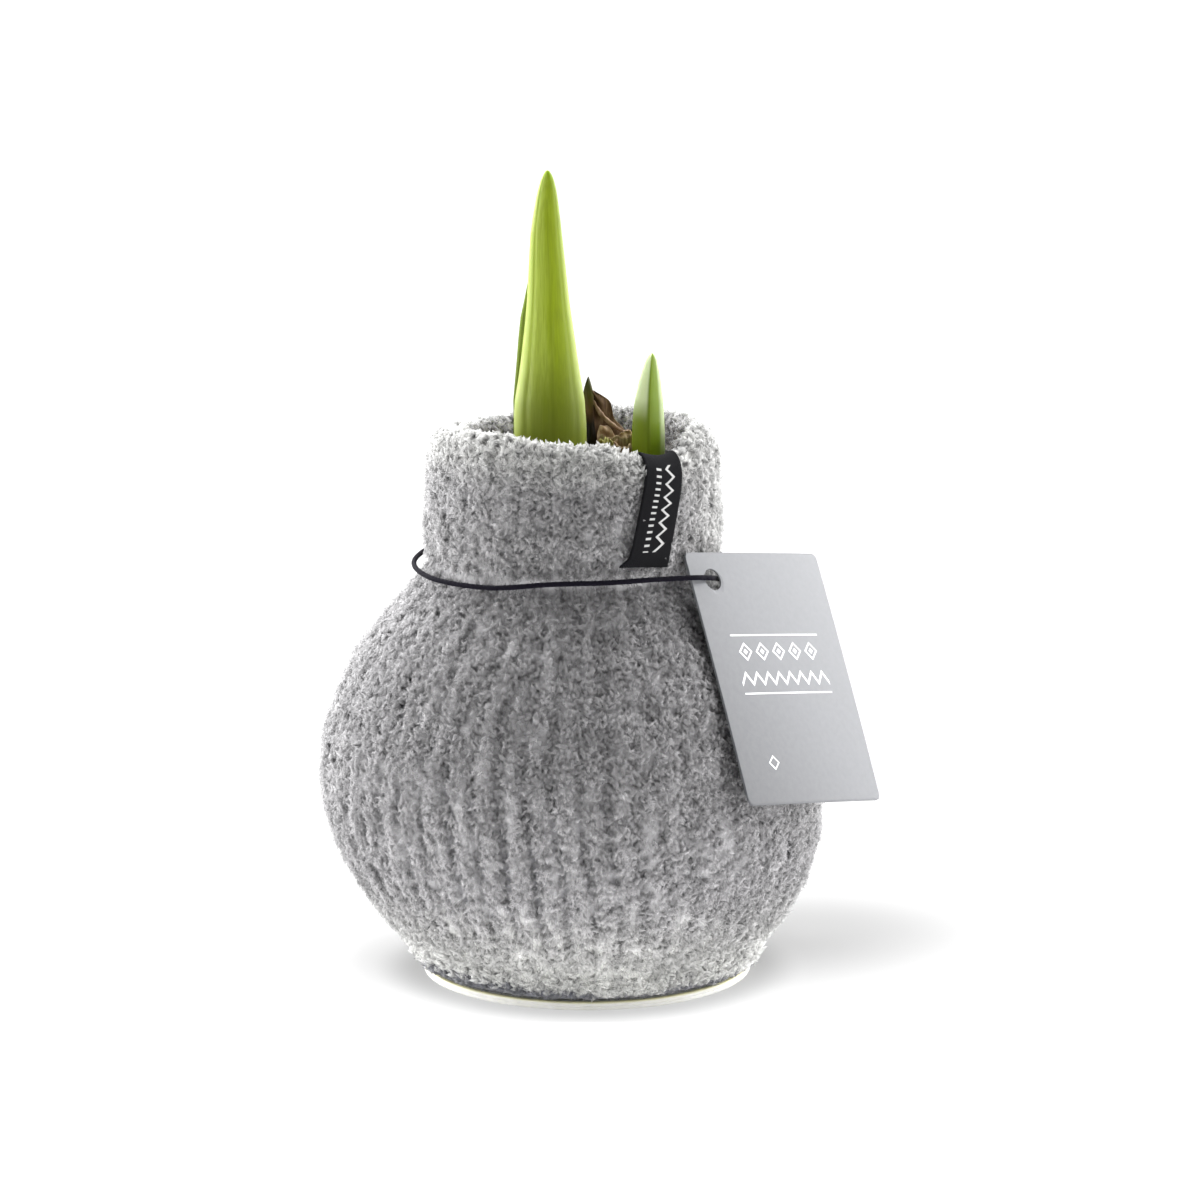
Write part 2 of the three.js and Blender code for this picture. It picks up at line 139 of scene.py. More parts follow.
# The white floor's own brightness, at distances behind the object's middle
FLOOR_GLOW = [
    (-0.40, 0.1), (-0.25, 0.3), (-0.18, 3.15), (-0.052, 3.15), (-0.041, 0.95), (0.40, 0.85), (0.6, 0.85),
]
BRIGHTEST = 4.0
# Soft ovals of shade on the floor: x and y of the middle, half-lengths across and deep, the share of these
# where the shade begins to fade, and the share of light that it takes
SHADES = [
    (0.045, 0.027, 0.066, 0.060, 0.1, 0.62),
    (-0.034, 0.012, 0.030, 0.044, 0.2, 0.38),
    (0.0, 0.0, 0.044, 0.045, 0.74, 0.42),
]


# ---- numbers
def smoothstep(x, low, high):
    t = np.clip((np.asarray(x, float) - low) / (high - low), 0, 1)
    return t * t * (3 - 2 * t)


def lobe(azimuth, centre, half):
    """A smooth bump of height 1, `half` degrees from its middle to its foot."""
    away = np.abs((np.asarray(azimuth, float) - centre + 180) % 360 - 180)
    return np.where(away < half, 0.5 + 0.5 * np.cos(PI * np.minimum(away, half) / half), 0)


def catmull(points, per_span=12):
    """Points on a smooth curve through the given ones."""
    p = np.asarray(points, float)
    p = np.vstack([p[:1], p, p[-1:]])
    out = []
    for i in range(1, len(p) - 2):
        for t in np.arange(per_span) / per_span:
            a, b, c, d = p[i - 1], p[i], p[i + 1], p[i + 2]
            v0, v1 = (c - a) / 2, (d - b) / 2
            out.append((2 * b - 2 * c + v0 + v1) * t**3 + (3 * c - 3 * b - 2 * v0 - v1) * t**2 + v0 * t + b)
    return np.array(out + [p[-2]])


def resample(points, count):
    """The same line as equally spaced points, with its length."""
    steps = np.r_[0, np.cumsum(np.linalg.norm(np.diff(points, axis=0), axis=1))]
    at = np.linspace(0, steps[-1], count)
    return np.stack([np.interp(at, steps, points[:, k]) for k in range(points.shape[1])], 1), steps[-1]


def unit(v):
    return v / np.maximum(np.linalg.norm(v, axis=-1, keepdims=True), 1e-9)


def circle(sides):
    return 2 * PI * np.arange(sides) / sides


def join(*columns):
    """Rows made of these columns, each of which is an array or one number for all rows."""
    return np.stack(np.broadcast_arrays(*columns), -1)


def axis_x(z):
    """Where the sleeve's middle is at a height: over the disc at its foot, to the left higher up."""
    return BELLY_X * smoothstep(z, 0, 52) + (NECK_X - BELLY_X) * smoothstep(z, 60, 86)


def crest_rise(azimuth):
    """How far the cuff's crest stands above or below its even height, all round."""
    lobes = ((1.6, -42, 50), (-1.8, -135, 60), (1.6, 72, 28), (-3.8, 44, 36))
    return sum(rise * lobe(azimuth, centre, half) for rise, centre, half in lobes)


def around_axis(azimuth, radius, z):
    a = np.radians(azimuth)
    return join(axis_x(z) + radius * np.sin(a), -radius * np.cos(a), z)


# ---- meshes
def put(name, data, place=(0, 0, 0), turn=(0, 0, 0)):
    """A new object in the scene."""
    obj = bpy.data.objects.new(name, data)
    obj.location, obj.rotation_euler = place, turn
    bpy.context.scene.collection.objects.link(obj)
    return obj


def new_mesh(name, points_mm, *faces, smooth=True):
    """An object from points in millimetres and arrays of faces."""
    me = bpy.data.meshes.new(name)
    points = np.asarray(points_mm, np.float32) * MM
    me.from_pydata(points.tolist(), [], [face for group in faces for face in group.tolist()], not smooth)
    me.validate()
    return put(name, me)


def paint(obj, name, values):
    """A point attribute with up to three numbers, which the materials read."""
    values = np.reshape(values, (len(values), -1))
    colour = np.zeros((len(values), 4), np.float32)
    colour[:, :values.shape[1]] = values
    colour[:, 3] = 1
    obj.data.color_attributes.new(name, "FLOAT_COLOR", "POINT").data.foreach_set("color", colour.ravel())


def grid_quads(rows, columns, wrap_rows=False):
    """Quads over a grid of points, counted row by row, whose columns run round."""
    i, j = np.indices((rows if wrap_rows else rows - 1, columns)).reshape(2, -1)
    i2, j2 = (i + 1) % rows, (j + 1) % columns
    return np.stack([i * columns + j, i * columns + j2, i2 * columns + j2, i2 * columns + j], 1)


def loft(name, rings, attribute=None, marks=None):
    """A closed skin over equal rings, with ends filled round a middle point. Marks go with the rings."""
    rings = np.asarray(rings, float)
    rows, count = rings.shape[:2]
    points = np.vstack([rings.reshape(-1, 3), rings[0].mean(0), rings[-1].mean(0)])
    k = np.arange(count)
    after, last = (k + 1) % count, (rows - 1) * count
    start, end = join(rows * count, after, k), join(rows * count + 1, last + k, last + after)
    obj = new_mesh(name, points, grid_quads(rows, count), start, end)
    if attribute:
        paint(obj, attribute, np.vstack([*marks, marks[0][:1], marks[-1][:1]]))
    return obj


def tube(path, radius, sides, closed=False):
    """Rings of a round tube along a path that never points straight up."""
    ahead = np.roll(path, -1, 0) - np.roll(path, 1, 0)
    if not closed:
        ahead[0], ahead[-1] = path[1] - path[0], path[-1] - path[-2]
    ahead = unit(ahead)
    across = unit(np.cross(ahead, (0, 0, 1)))
    below = np.cross(ahead, across)
    a = circle(sides)
    radius = np.broadcast_to(radius, len(path))[:, None, None]
    around = across[:, None] * np.cos(a)[:, None] + below[:, None] * np.sin(a)[:, None]
    return path[:, None] + radius * around


# ---- materials
class Nodes:
    """A node tree, with short ways to make and join its nodes."""

    def __init__(self, tree):
        self.tree = tree

    def node(self, kind, inputs=None, **settings):
        node = self.tree.nodes.new(kind)
        for key, value in settings.items():
            setattr(node, key, value)
        for key, value in (inputs or {}).items():
            self.feed(node.inputs[key], value)
        return node

    def feed(self, socket, value):
        if isinstance(value, bpy.types.NodeSocket):
            self.tree.links.new(value, socket)
        else:
            socket.default_value = value

    def math(self, operation, a, b=0.0, c=0.0):
        return self.node("ShaderNodeMath", {0: a, 1: b, 2: c}, operation=operation).outputs[0]

    def times(self, *values):
        return reduce(partial(self.math, "MULTIPLY"), values)

    def most(self, *values):
        return reduce(partial(self.math, "MAXIMUM"), values)

    def away(self, value, middle):
        return self.math("ABSOLUTE", self.math("SUBTRACT", value, middle))

    def near(self, value, middle, half):
        """1 where the value is less than half away from the middle, and 0 elsewhere."""
        return self.math("LESS_THAN", self.away(value, middle), half)

    def mix(self, factor, a, b, blend="MIX"):
        node = self.node("ShaderNodeMix", {0: factor}, data_type="RGBA", blend_type=blend)
        for key, value in ((6, a), (7, b)):
            self.feed(node.inputs[key], value if isinstance(value, bpy.types.NodeSocket) else (*value, 1.0))
        return node.outputs[2]

    def ramp(self, factor, stops):
        node = self.node("ShaderNodeValToRGB", {"Fac": factor})
        elements = node.color_ramp.elements
        while len(elements) < len(stops):
            elements.new(0.5)
        for element, (at, colour) in zip(elements, stops):
            element.position = at
            element.color = (*colour, 1.0)
        return node.outputs[0]

    def range(self, value, low, high, to_low=0.0, to_high=1.0, kind="LINEAR"):
        inputs = {0: value, 1: low, 2: high, 3: to_low, 4: to_high}
        return self.node("ShaderNodeMapRange", inputs, interpolation_type=kind).outputs[0]

    def grey(self, value):
        return self.node("ShaderNodeCombineColor", {0: value, 1: value, 2: value}).outputs[0]

    def attribute(self, name):
        node = self.node("ShaderNodeAttribute", attribute_name=name)
        return self.node("ShaderNodeSeparateColor", {0: node.outputs["Color"]}).outputs

    def xyz(self, vector):
        return self.node("ShaderNodeSeparateXYZ", {0: vector}).outputs

    def place(self, *scale):
        """The object's own coordinates in metres, which are the frame's, multiplied by three scales."""
        where = self.node("ShaderNodeTexCoord").outputs["Object"]
        return self.node("ShaderNodeMapping", {"Vector": where, "Scale": scale or (1, 1, 1)}).outputs[0]

    def noise(self, scale, detail=4.0, where=None, roughness=0.55):
        inputs = {"Vector": where or self.place(), "Scale": scale, "Detail": detail, "Roughness": roughness}
        return self.node("ShaderNodeTexNoise", inputs).outputs[0]


class Material(Nodes):
    """A material with one Principled shader."""

    def __init__(self, name):
        self.material = bpy.data.materials.new(name)
        self.material.use_nodes = True
        super().__init__(self.material.node_tree)
        self.shader = self.tree.nodes["Principled BSDF"]

    def bump(self, height, strength, distance):
        node = self.node("ShaderNodeBump", {"Strength": strength, "Distance": distance, "Height": height})
        self.feed(self.shader.inputs["Normal"], node.outputs[0])

    def finish(self, colour, roughness, specular=0.5, **others):
        """Sets the shader's sockets, the others by their names with _ for a space. Returns the material."""
        others.update(Base_Color=colour, Roughness=roughness, Specular_IOR_Level=specular)
        for key, value in others.items():
            self.feed(self.shader.inputs[key.replace("_", " ")], value)
        return self.material


def chenille():
    """Pile strands: darker at their roots as painted shade, in light and dark tufts, each strand with a tone
    of its own.

    The attribute holds the place along a strand, its tone with painted shade taken off, and how pale it is:
    1 where light is painted in, -1 in the hem's band of painted shade. Light goes through pile, so a strand
    is half translucent and mostly gauze."""
    translucent, gauze = 0.5, 0.68
    m = Material("chenille_pile")
    along, tone, pale = m.attribute("pile")[:3]
    # Darker towards each strand's root: painted shade deep in the pile
    tones = (0.0, (0.485, 0.475, 0.489)), (0.5, (0.585, 0.575, 0.588)), (1.0, (0.70, 0.69, 0.703))
    # Towards near-white where light is painted in: at the foot, on the cuff's crest and beside the tag
    body = m.mix(m.range(pale, 0.0, 1.0), m.ramp(along, tones), (0.97, 0.97, 0.95))
    large = m.range(m.noise(170.0, 3.0), 0.3, 0.7, 0.86, 1.1)
    small = m.range(m.noise(390.0, 2.0), 0.35, 0.65, 0.80, 1.10)
    # The strand's tone, with painted shade taken off it
    patches = m.times(large, small, m.range(tone, -1.0, 1.9, 0.35, 1.467))
    body = m.mix(1.0, body, m.grey(patches), "MULTIPLY")
    # Painted shade along the tucked-under hem, where the attribute is below 0
    colour = m.mix(m.range(pale, 0.0, -1.0), body, (0.36, 0.365, 0.40))
    outward = m.node("ShaderNodeAttribute", attribute_name="outward").outputs["Vector"]
    m.feed(m.shader.inputs["Normal"], outward)
    through = m.node("ShaderNodeBsdfTranslucent", {"Color": m.mix(0.3, colour, (0.95,) * 3)}).outputs[0]
    fibre = m.node("ShaderNodeMixShader", {0: translucent, 1: m.shader.outputs[0], 2: through}).outputs[0]
    clear = m.node("ShaderNodeBsdfTransparent").outputs[0]
    fuzz = m.node("ShaderNodeMixShader", {0: gauze, 1: fibre, 2: clear}).outputs[0]
    m.feed(m.tree.nodes["Material Output"].inputs[0], fuzz)
    return m.finish(colour, 0.92, 0.1, Sheen_Weight=0.8, Sheen_Roughness=0.4)


def knit_ground():
    """The knit under the pile: a shade darker, with a fibrous grain. Its attribute is painted light, and
    painted shade below 0.
    """
    m = Material("knit_ground")
    fibre = m.noise(1500.0, 5.0, roughness=0.7)
    pale = m.attribute("ground")[0]
    colour = m.ramp(fibre, [(0.3, (0.34, 0.336, 0.345)), (0.75, (0.52, 0.515, 0.525))])
    # Paler where light is painted in: towards the foot, and on the cuff's crest and inner wall
    colour = m.mix(m.range(pale, 0.0, 1.0), colour, (0.80, 0.80, 0.77))
    # Painted shade in the hem band and in the grooves between the taut ribs
    colour = m.mix(m.range(pale, 0.0, -1.0), colour, (0.17, 0.175, 0.21))
    m.bump(fibre, 0.8, 0.0004)
    return m.finish(colour, 0.95, 0.15, Sheen_Weight=0.3)


def leaf_material(name, left, right, dark, rim):
    """A waxy leaf: fine lengthwise veins, pale margins partly painted highlights, a seam near its middle,
    painted light on its left half, and painted shade towards its foot.

    Its attribute holds the place across the leaf and up it (0 to 1), and how much of a margin and painted
    highlight it is."""
    seam, seam_half = 0.55, 1 / 26
    m = Material(name)
    across, height, margin = m.attribute("leaf")[:3]
    veins = m.noise(520.0, 4.0, m.place(6.0, 6.0, 0.05))
    broad = m.range(m.noise(170.0, 2.0, m.place(5.0, 5.0, 0.06)), 0.3, 0.7, -0.12, 0.12)
    # Painted light: the left half, facing the lamps, lighter than the right
    green = m.mix(m.range(m.math("ADD", across, broad), 0.35, 0.62), left, right)
    green = m.mix(m.range(veins, 0.35, 0.7, 0.0, 0.38), green, dark)
    green = m.mix(m.range(m.away(across, seam), 0.0, seam_half, 0.35, 0.0), green, dark)
    # Painted shade towards the foot, where the cuff shades the leaf
    green = m.mix(m.range(height, 0.50, 0.22, 0.0, 0.85), green, dark)
    m.bump(veins, 0.25, 0.00012)
    # Margins: pale of themselves, with painted highlights along them
    return m.finish(
        m.mix(margin, green, rim), 0.40, 0.22, Coat_Weight=0.05, Coat_Roughness=0.18, Subsurface_Weight=0.12,
        Subsurface_Radius=(0.0012, 0.0022, 0.0005), Subsurface_Scale=1.0,
    )


def papery(name, dark, mid, light, scale=260.0, tip=None):
    """Dried scale: streaked lengthways, with darker blotches. A tip adds colours at heights in metres."""
    m = Material(name)
    streaks = m.noise(scale, 5.0, m.place(4.0, 4.0, 0.5), 0.65)
    mixed = m.math("MULTIPLY_ADD", m.noise(190.0, 3.0), 0.5, m.times(streaks, 0.6))
    colour = m.ramp(mixed, [(0.3, dark), (0.52, mid), (0.72, light)])
    if tip:
        low, high = tip[0][0], tip[-1][0]
        height = m.range(m.xyz(m.place())[2], low, high)
        added = m.ramp(height, [((z - low) / (high - low), shade) for z, shade in tip])
        colour = m.mix(m.range(streaks, 0.3, 0.6, 0.6, 1.0), colour, added, "ADD")
    m.bump(streaks, 0.6, 0.0004)
    return m.finish(colour, 0.75, 0.15)


def ivory():
    """Satin ivory plastic, creamier along its top edge, which the attribute marks."""
    m = Material("disc_ivory")
    grain = m.noise(500.0, 4.0)
    colour = m.mix(m.range(grain, 0.3, 0.7), (0.74, 0.735, 0.69), (0.82, 0.815, 0.78))
    colour = m.mix(m.attribute("disc")[0], colour, (0.74, 0.71, 0.42))
    m.bump(grain, 0.15, 0.0002)
    return m.finish(colour, 0.38, Subsurface_Weight=0.1, Subsurface_Radius=(0.002, 0.002, 0.001))


def ribbon():
    """Black woven ribbon with a plain motif in white thread: a zigzag beside a row of short bars.

    Its attribute holds the place across and along the label (0 to 1) and 1 on its outer face."""
    warps, wefts, zigzags, bars = 26, 90, 22.0, 24.0
    m = Material("label_ribbon")
    across, along, front = m.attribute("weave")[:3]
    warp = m.math("SINE", m.times(across, 2 * PI * warps))
    weft = m.math("SINE", m.times(along, 2 * PI * wefts))
    weave = m.times(warp, weft)
    lift = m.range(weave, -1.0, 1.0)
    swing = m.math("MULTIPLY_ADD", m.math("PINGPONG", m.times(along, zigzags), 1.0), 0.20, 0.54)
    beat = m.math("LESS_THAN", m.math("FRACT", m.times(along, bars)), 0.34)
    motif = m.most(m.near(across, swing, 0.040), m.times(m.near(across, 0.33, 0.065), beat))
    inside = m.times(m.math("GREATER_THAN", along, 0.09), m.math("LESS_THAN", along, 0.66))
    black = m.mix(lift, (0.006, 0.006, 0.0068), (0.014, 0.014, 0.0155))
    white = m.mix(lift, (0.34, 0.34, 0.34), (0.66, 0.66, 0.65))
    m.bump(weave, 0.5, 0.00012)
    return m.finish(m.mix(m.times(motif, inside, front), black, white), 0.85, 0.03)


def elastic():
    """Dark braided elastic. Its attribute holds the place round and along the cord (0 to 1)."""
    plaits, strands_round = 170, 3
    m = Material("cord_elastic")
    turn, along = m.attribute("cord")[:2]
    turns = [m.times(turn, way * 2 * PI * strands_round) for way in (1, -1)]
    braid = m.most(*[m.math("SINE", m.math("MULTIPLY_ADD", along, 2 * PI * plaits, t)) for t in turns])
    colour = m.mix(m.range(braid, -1.0, 1.0), (0.002, 0.0015, 0.004), (0.006, 0.005, 0.010))
    m.bump(braid, 0.6, 0.0001)
    return m.finish(colour, 0.75, 0.06)


def card():
    """Coated silver-grey card: a gradient, darker towards its lower left, and a white motif of lozenges over
    a zigzag between two rules.

    Its attribute holds the place across and up the card (0 to 1) and 1 on its front. The motif is in mm."""
    pitch, lozenge_y, rule_half = 4.8, 5.2, 12.8
    m = Material("tag_card")
    across, up, front = m.attribute("card")[:3]
    x, y = (m.math("MULTIPLY_ADD", place, TAG[side], -TAG[side] / 2)
            for place, side in ((across, "width"), (up, "height")))
    cell = m.math("SUBTRACT", m.math("FRACT", m.math("MULTIPLY_ADD", x, 1 / pitch, 0.5)), 0.5)
    out = m.math("ADD", m.math("ABSOLUTE", m.times(cell, pitch)), m.away(y, lozenge_y))
    lozenge = m.most(m.near(out, 1.65, 0.26), m.math("LESS_THAN", out, 0.62))
    swing = m.math("MULTIPLY_ADD", m.math("PINGPONG", m.times(x, 1 / 1.6), 1.0), 2.3, -1.5)
    rules = m.most(m.near(y, 8.6, 0.16), m.near(y, -3.4, 0.16))
    in_line = m.near(x, 0.0, rule_half)
    mark = m.near(m.math("ADD", m.away(x, -9.6), m.away(y, -17.5)), 1.3, 0.2)
    motif = m.most(m.times(lozenge, m.near(x, 0.0, 11.9)), m.times(m.near(y, swing, 0.42), in_line),
                   m.times(rules, in_line), mark)
    fibre = m.noise(900.0, 3.0)
    slope = m.math("MULTIPLY_ADD", across, 0.55, m.times(up, 0.45))
    greys = (0.0, (0.056, 0.058, 0.065)), (0.5, (0.144, 0.148, 0.159)), (1.0, (0.200, 0.205, 0.217))
    colour = m.mix(m.range(fibre, 0.3, 0.7, 0.0, 0.02), m.ramp(slope, greys), (0.8,) * 3)
    colour = m.mix(m.times(motif, front, 0.85), colour, (0.90,) * 3)
    m.bump(fibre, 0.02, 0.0001)
    return m.finish(colour, 0.42, 0.35, Coat_Weight=0.1, Coat_Roughness=0.3)


def white_floor():
    """Pale backdrop, bright of itself: more so before the object than behind it, less in the soft shades."""
    m = Material("floor")
    colour = m.mix(m.range(m.noise(3.0, 2.0), 0.0, 1.0), (0.11,) * 3, (0.13,) * 3)
    side, behind = m.xyz(m.place())[:2]
    nearest, farthest = FLOOR_GLOW[0][0], FLOOR_GLOW[-1][0]
    stops = [((at - nearest) / (farthest - nearest), (level / BRIGHTEST,) * 3) for at, level in FLOOR_GLOW]
    glow = m.ramp(m.range(behind, nearest, farthest), stops)
    lit = []
    for middle_x, middle_y, across, deep, start, share in SHADES:
        x = m.times(m.math("SUBTRACT", side, middle_x), 1 / across)
        y = m.times(m.math("SUBTRACT", behind, middle_y), 1 / deep)
        out = m.math("SQRT", m.math("MULTIPLY_ADD", x, x, m.times(y, y)))
        lit.append(m.range(out, start, 1.0, 1 - share, 1.0, "SMOOTHSTEP"))
    glow = m.mix(1.0, glow, m.grey(m.times(*lit)), "MULTIPLY")
    return m.finish(colour, 0.8, 0.1, Emission_Color=glow, Emission_Strength=BRIGHTEST)


def dress(obj, material, replaced="bulb"):
    """Gives a piece its material and its place on the body, and hides the node it stands for."""
    obj.data.materials.append(material)
    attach(obj, "root")
    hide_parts(replaced)


# ---- the knit's surface
def cuff_section():
    """The turned cuff's section: up its outside, over the crest and down into the mouth."""
    radius, foot, crest, inside = CUFF["radius"], CUFF["foot"], CUFF["crest"], CUFF["inside"]
    top = SLEEVE_HEIGHT
    return [
        (radius, foot), (radius + 0.3, foot + 6), (radius, top - 13), (radius - 0.6, top - 5.5),
        (radius - 1.7, top - 1.7), (crest, top), (inside + 0.9, top - 1.7), (inside, top - 5.5),
        (inside, top - 14),
    ]


class Skin:
    """The outer skin of the knit, over a stretch of its section: where it is, and which way it faces."""

    def __init__(self, section, rib):
        self.line, self.length = resample(catmull(section), 400)
        self.steps = np.linspace(0, self.length, len(self.line))
        self.rib = rib

    def radius(self, s):
        return np.interp(s, self.steps, self.line[:, 0])

    def at(self, azimuth, s):
        """Points, outward normals, and tangents round and along the knit, at azimuths and lengths s."""
        z = np.interp(s, self.steps, self.line[:, 1])
        ahead = np.gradient(self.line, self.steps, axis=0)
        along_r, along_z = (np.interp(s, self.steps, ahead[:, k]) for k in (0, 1))
        a = np.radians(azimuth)
        out = join(np.sin(a), -np.cos(a), 0)
        up = np.array([0.0, 0.0, 1.0])
        point = around_axis(azimuth, self.radius(s), z)
        point[..., 2] += crest_rise(azimuth) * smoothstep(z, 90, SLEEVE_HEIGHT)
        along = unit(along_r[..., None] * out + along_z[..., None] * up)
        normal = unit(along_z[..., None] * out - along_r[..., None] * up)
        return point, normal, join(np.cos(a), np.sin(a), 0), along

    def taut(self, azimuth, s):
        """Where the knit is stretched so that its ribs stand out: over the bulb's left side."""
        if self is not BODY:
            return np.zeros_like(s)
        side = lobe(azimuth, TAUT["azimuth"], TAUT["half"]) ** TAUT["power"]
        return side * smoothstep(s, *TAUT["from_s"]) * (1 - TAUT["faded"] * smoothstep(s, *TAUT["to_s"]))

    def relief(self, azimuth, s):
        """How high the knit lies from its skin, with grooves between ribs, dips between stitches and lumps.

        Also the place across a rib and along a row of stitches, each from -0.5 to 0.5."""
        wander = 0.10 * np.sin(s / 6.1 + 1.7 * np.sin(np.radians(azimuth) * 5)) * smoothstep(s, 2, 12)
        wale = azimuth * WALES / 360 + 0.5 + wander
        across = wale % 1 - 0.5
        strength = FAINT + (1 - FAINT) * self.taut(azimuth, s)
        grooves = (2 * np.abs(across)) ** 2.6
        row = s / COURSE + 0.55 * np.abs(across) + 0.37 * np.sin(7.3 * np.floor(wale))
        dips = 0.5 - 0.5 * np.cos(2 * PI * row)
        lumps = 0.35 * np.sin(azimuth * 0.41 + s * 0.23) * np.sin(azimuth * 0.17 - s * 0.31) - 0.25
        return lumps - self.rib * strength * grooves - STITCH * dips, across, row % 1 - 0.5


BODY = Skin(OUTSIDE, RIB)
TURNED = Skin(cuff_section(), RIB * CUFF_RIB)


def in_painted_hem_shade(azimuth, s):
    """1 within the band of painted shade along the tucked-under hem, whose upper edge is ragged, and 0 above
    it.
    """
    azimuth = (np.asarray(azimuth, float) + 90) % 360 - 90
    ragged = 0.4 * np.sin(azimuth * 1.03 + 2.4 * np.sin(azimuth * 0.37)) * np.sin(azimuth * 0.61 + 1.3)
    ragged += 0.35 * np.sin(azimuth * 2.9 + 1.7 * np.sin(azimuth * 1.1))
    return (s < np.interp(azimuth, *np.array(HEM_SHADE_BAND, float).T) * (1 + ragged)).astype(float)


def build_ground():
    """The knit itself, as one closed shell: relief outside, smooth inside."""
    columns = WALES * GROUND_STEPS
    azimuth = np.arange(columns) * 360 / columns
    rings, shades = [], []
    for skin, rows in zip((BODY, TURNED), GROUND_ROWS):
        for s in np.linspace(0, skin.length, rows):
            s_row = np.full(columns, s)
            point, normal, _, _ = skin.at(azimuth, s_row)
            depth, across, _ = skin.relief(azimuth, s_row)
            if skin is BODY:
                hem = 0.2 + 0.8 * smoothstep(s, 0, 6)
                # Painted shade in the grooves between the taut ribs
                groove = 0.5 * skin.taut(azimuth, s_row) * smoothstep(np.abs(across), 0.3, 0.45)
                dark = np.maximum(in_painted_hem_shade(azimuth, s_row), groove)
                # Painted light towards the foot, painted shade in the hem band and the taut grooves
                shades.append(0.9 * (1 - smoothstep(s, 5, 31)) * (1 - dark) - dark)
            else:
                hem = 1.0
                # Painted light on the cuff's crest and inner wall
                shades.append(0.6 * smoothstep(s_row, 15, 24))
            rings.append(point + normal * ((depth - PILE) * hem)[:, None])
    for radius, z in reversed(HOLLOW):
        rings.append(around_axis(azimuth, radius, z))
        shades.append(np.zeros(columns))
    ground = new_mesh("knit_ground", np.vstack(rings), grid_quads(len(rings), columns, wrap_rows=True))
    paint(ground, "ground", np.concatenate(shades))
    dress(ground, knit_ground(), "knit_sleeve")


def strands(rng, root, normal, lean, length, radius):
    """Bent strands, each a closed three-sided spindle of five points: points, faces, places and tones."""
    count = len(root)
    rise, lay = (np.radians(rng.uniform(*angles, count))[:, None] for angles in (STRAND_RISE, STRAND_LAY))
    side = unit(np.cross(normal, lean))
    swerve = unit(lean + side * rng.normal(scale=STRAND_SWERVE, size=(count, 1)))
    first = unit(normal * np.cos(rise) + lean * np.sin(rise))
    last = unit(normal * np.cos(lay) + swerve * np.sin(lay))
    middle = root + first * (0.55 * length)[:, None]
    tip = middle + last * (0.45 * length)[:, None]
    turn = rng.uniform(0, 2 * PI, count)
    e1 = unit(np.cross(unit(first + last), side))
    e2 = np.cross(unit(first + last), e1)
    corners = [middle + (e1 * np.cos(a)[:, None] + e2 * np.sin(a)[:, None]) * radius[:, None]
               for a in turn + circle(3)[:, None]]
    points = np.stack([root, *corners, tip], 1)
    faces = [(0, 1 + (j + 1) % 3, 1 + j) for j in range(3)] + [(1 + j, 1 + (j + 1) % 3, 4) for j in range(3)]
    faces = (np.array(faces)[None] + (5 * np.arange(count))[:, None, None]).reshape(-1, 3)
    along = np.tile([0, 0.6, 0.6, 0.6, 1.0], count)
    tone = np.repeat(rng.uniform(0, 1, count), 5)
    return points.reshape(-1, 3), faces, along, tone


def pile_roots(rng, skin, density, s_low, s_high, azimuths=(0.0, 360.0)):
    """Random places on a stretch of the knit, even by area."""
    widest = skin.line[:, 0].max()
    area = widest * math.radians(azimuths[1] - azimuths[0]) * (s_high - s_low)
    count = int(area * density)
    s = rng.uniform(s_low, s_high, count)
    azimuth = rng.uniform(*azimuths, count)
    kept = rng.uniform(0, widest, count) < skin.radius(s)
    return azimuth[kept], s[kept]


def under_label(skin, azimuth, s):
    """Whether places lie under the label."""
    if skin is not TURNED:
        return np.zeros(len(s), bool)
    low, _, high = LABEL_SPAN
    along = s / skin.length
    middle = np.interp(along, LABEL_SPAN, LABEL["azimuths"])
    half = np.degrees((LABEL["width"] / 2 - 0.2) / skin.radius(s))
    return (np.abs(azimuth - middle) < half) & (along > low - 0.01) & (along < high)


def pile_painted_light_and_shade(skin, azimuth, s):
    """Painted shade taken off a strand's tone, and painted light as paleness: -1 in the hem's painted shade.
    """
    if skin is BODY:
        hem = in_painted_hem_shade(azimuth, s)
        # Painted light towards the foot
        foot = (1 - smoothstep(s, 5, 28)) * (1 - hem)
        # Painted light left of the tag, where its shadow falls
        painted_light_by_tag = 0.8 * lobe(azimuth, 74, 28) * (0.35 + 0.65 * smoothstep(s, 58, 70)) * smoothstep(s, 28, 50)
        # Painted shade on the body's upper left; below 0, painted light at the very foot
        painted_shade_and_light = 0.4 * lobe(azimuth, -50, 75) * smoothstep(s, 40, 58) - 0.9 * (1 - smoothstep(s, 3, 14))
        return painted_shade_and_light, np.maximum(foot, painted_light_by_tag) - hem
    # Painted light on the crest, and a little over the whole cuff
    crest = 0.1 + 0.8 * smoothstep(s, 15, 24) * (1 - smoothstep(s, 27, 31))
    # Painted light on the cuff's right side, seen through the tag's hole
    painted_light_by_tag = 0.85 * lobe(azimuth, 80, 50) * (1 - smoothstep(s, 28, 33))
    # Painted shade on the inner wall down into the mouth; painted light on the crest and by the tag
    return 1.25 * smoothstep(s, 28, 34), np.maximum(crest, painted_light_by_tag)


def has_pile(rng, skin, azimuth, s):
    """Whether pile grows at the places: not in small pits, not in taut grooves and not under the label."""
    cells = np.floor(skin.at(azimuth, s)[0] / PIT).astype(np.int64) @ [73856093, 19349663, 83492791]
    pit = (cells * 2654435761 % 2**32) / 2**32 < PIT_SHARE    # one hashed number for each cell of space
    open_groove = smoothstep(np.abs(skin.relief(azimuth, s)[1]), 0.36, 0.46)
    groove = rng.uniform(0, 1, len(s)) < 0.9 * skin.taut(azimuth, s) * open_groove
    return ~(pit | groove | under_label(skin, azimuth, s))


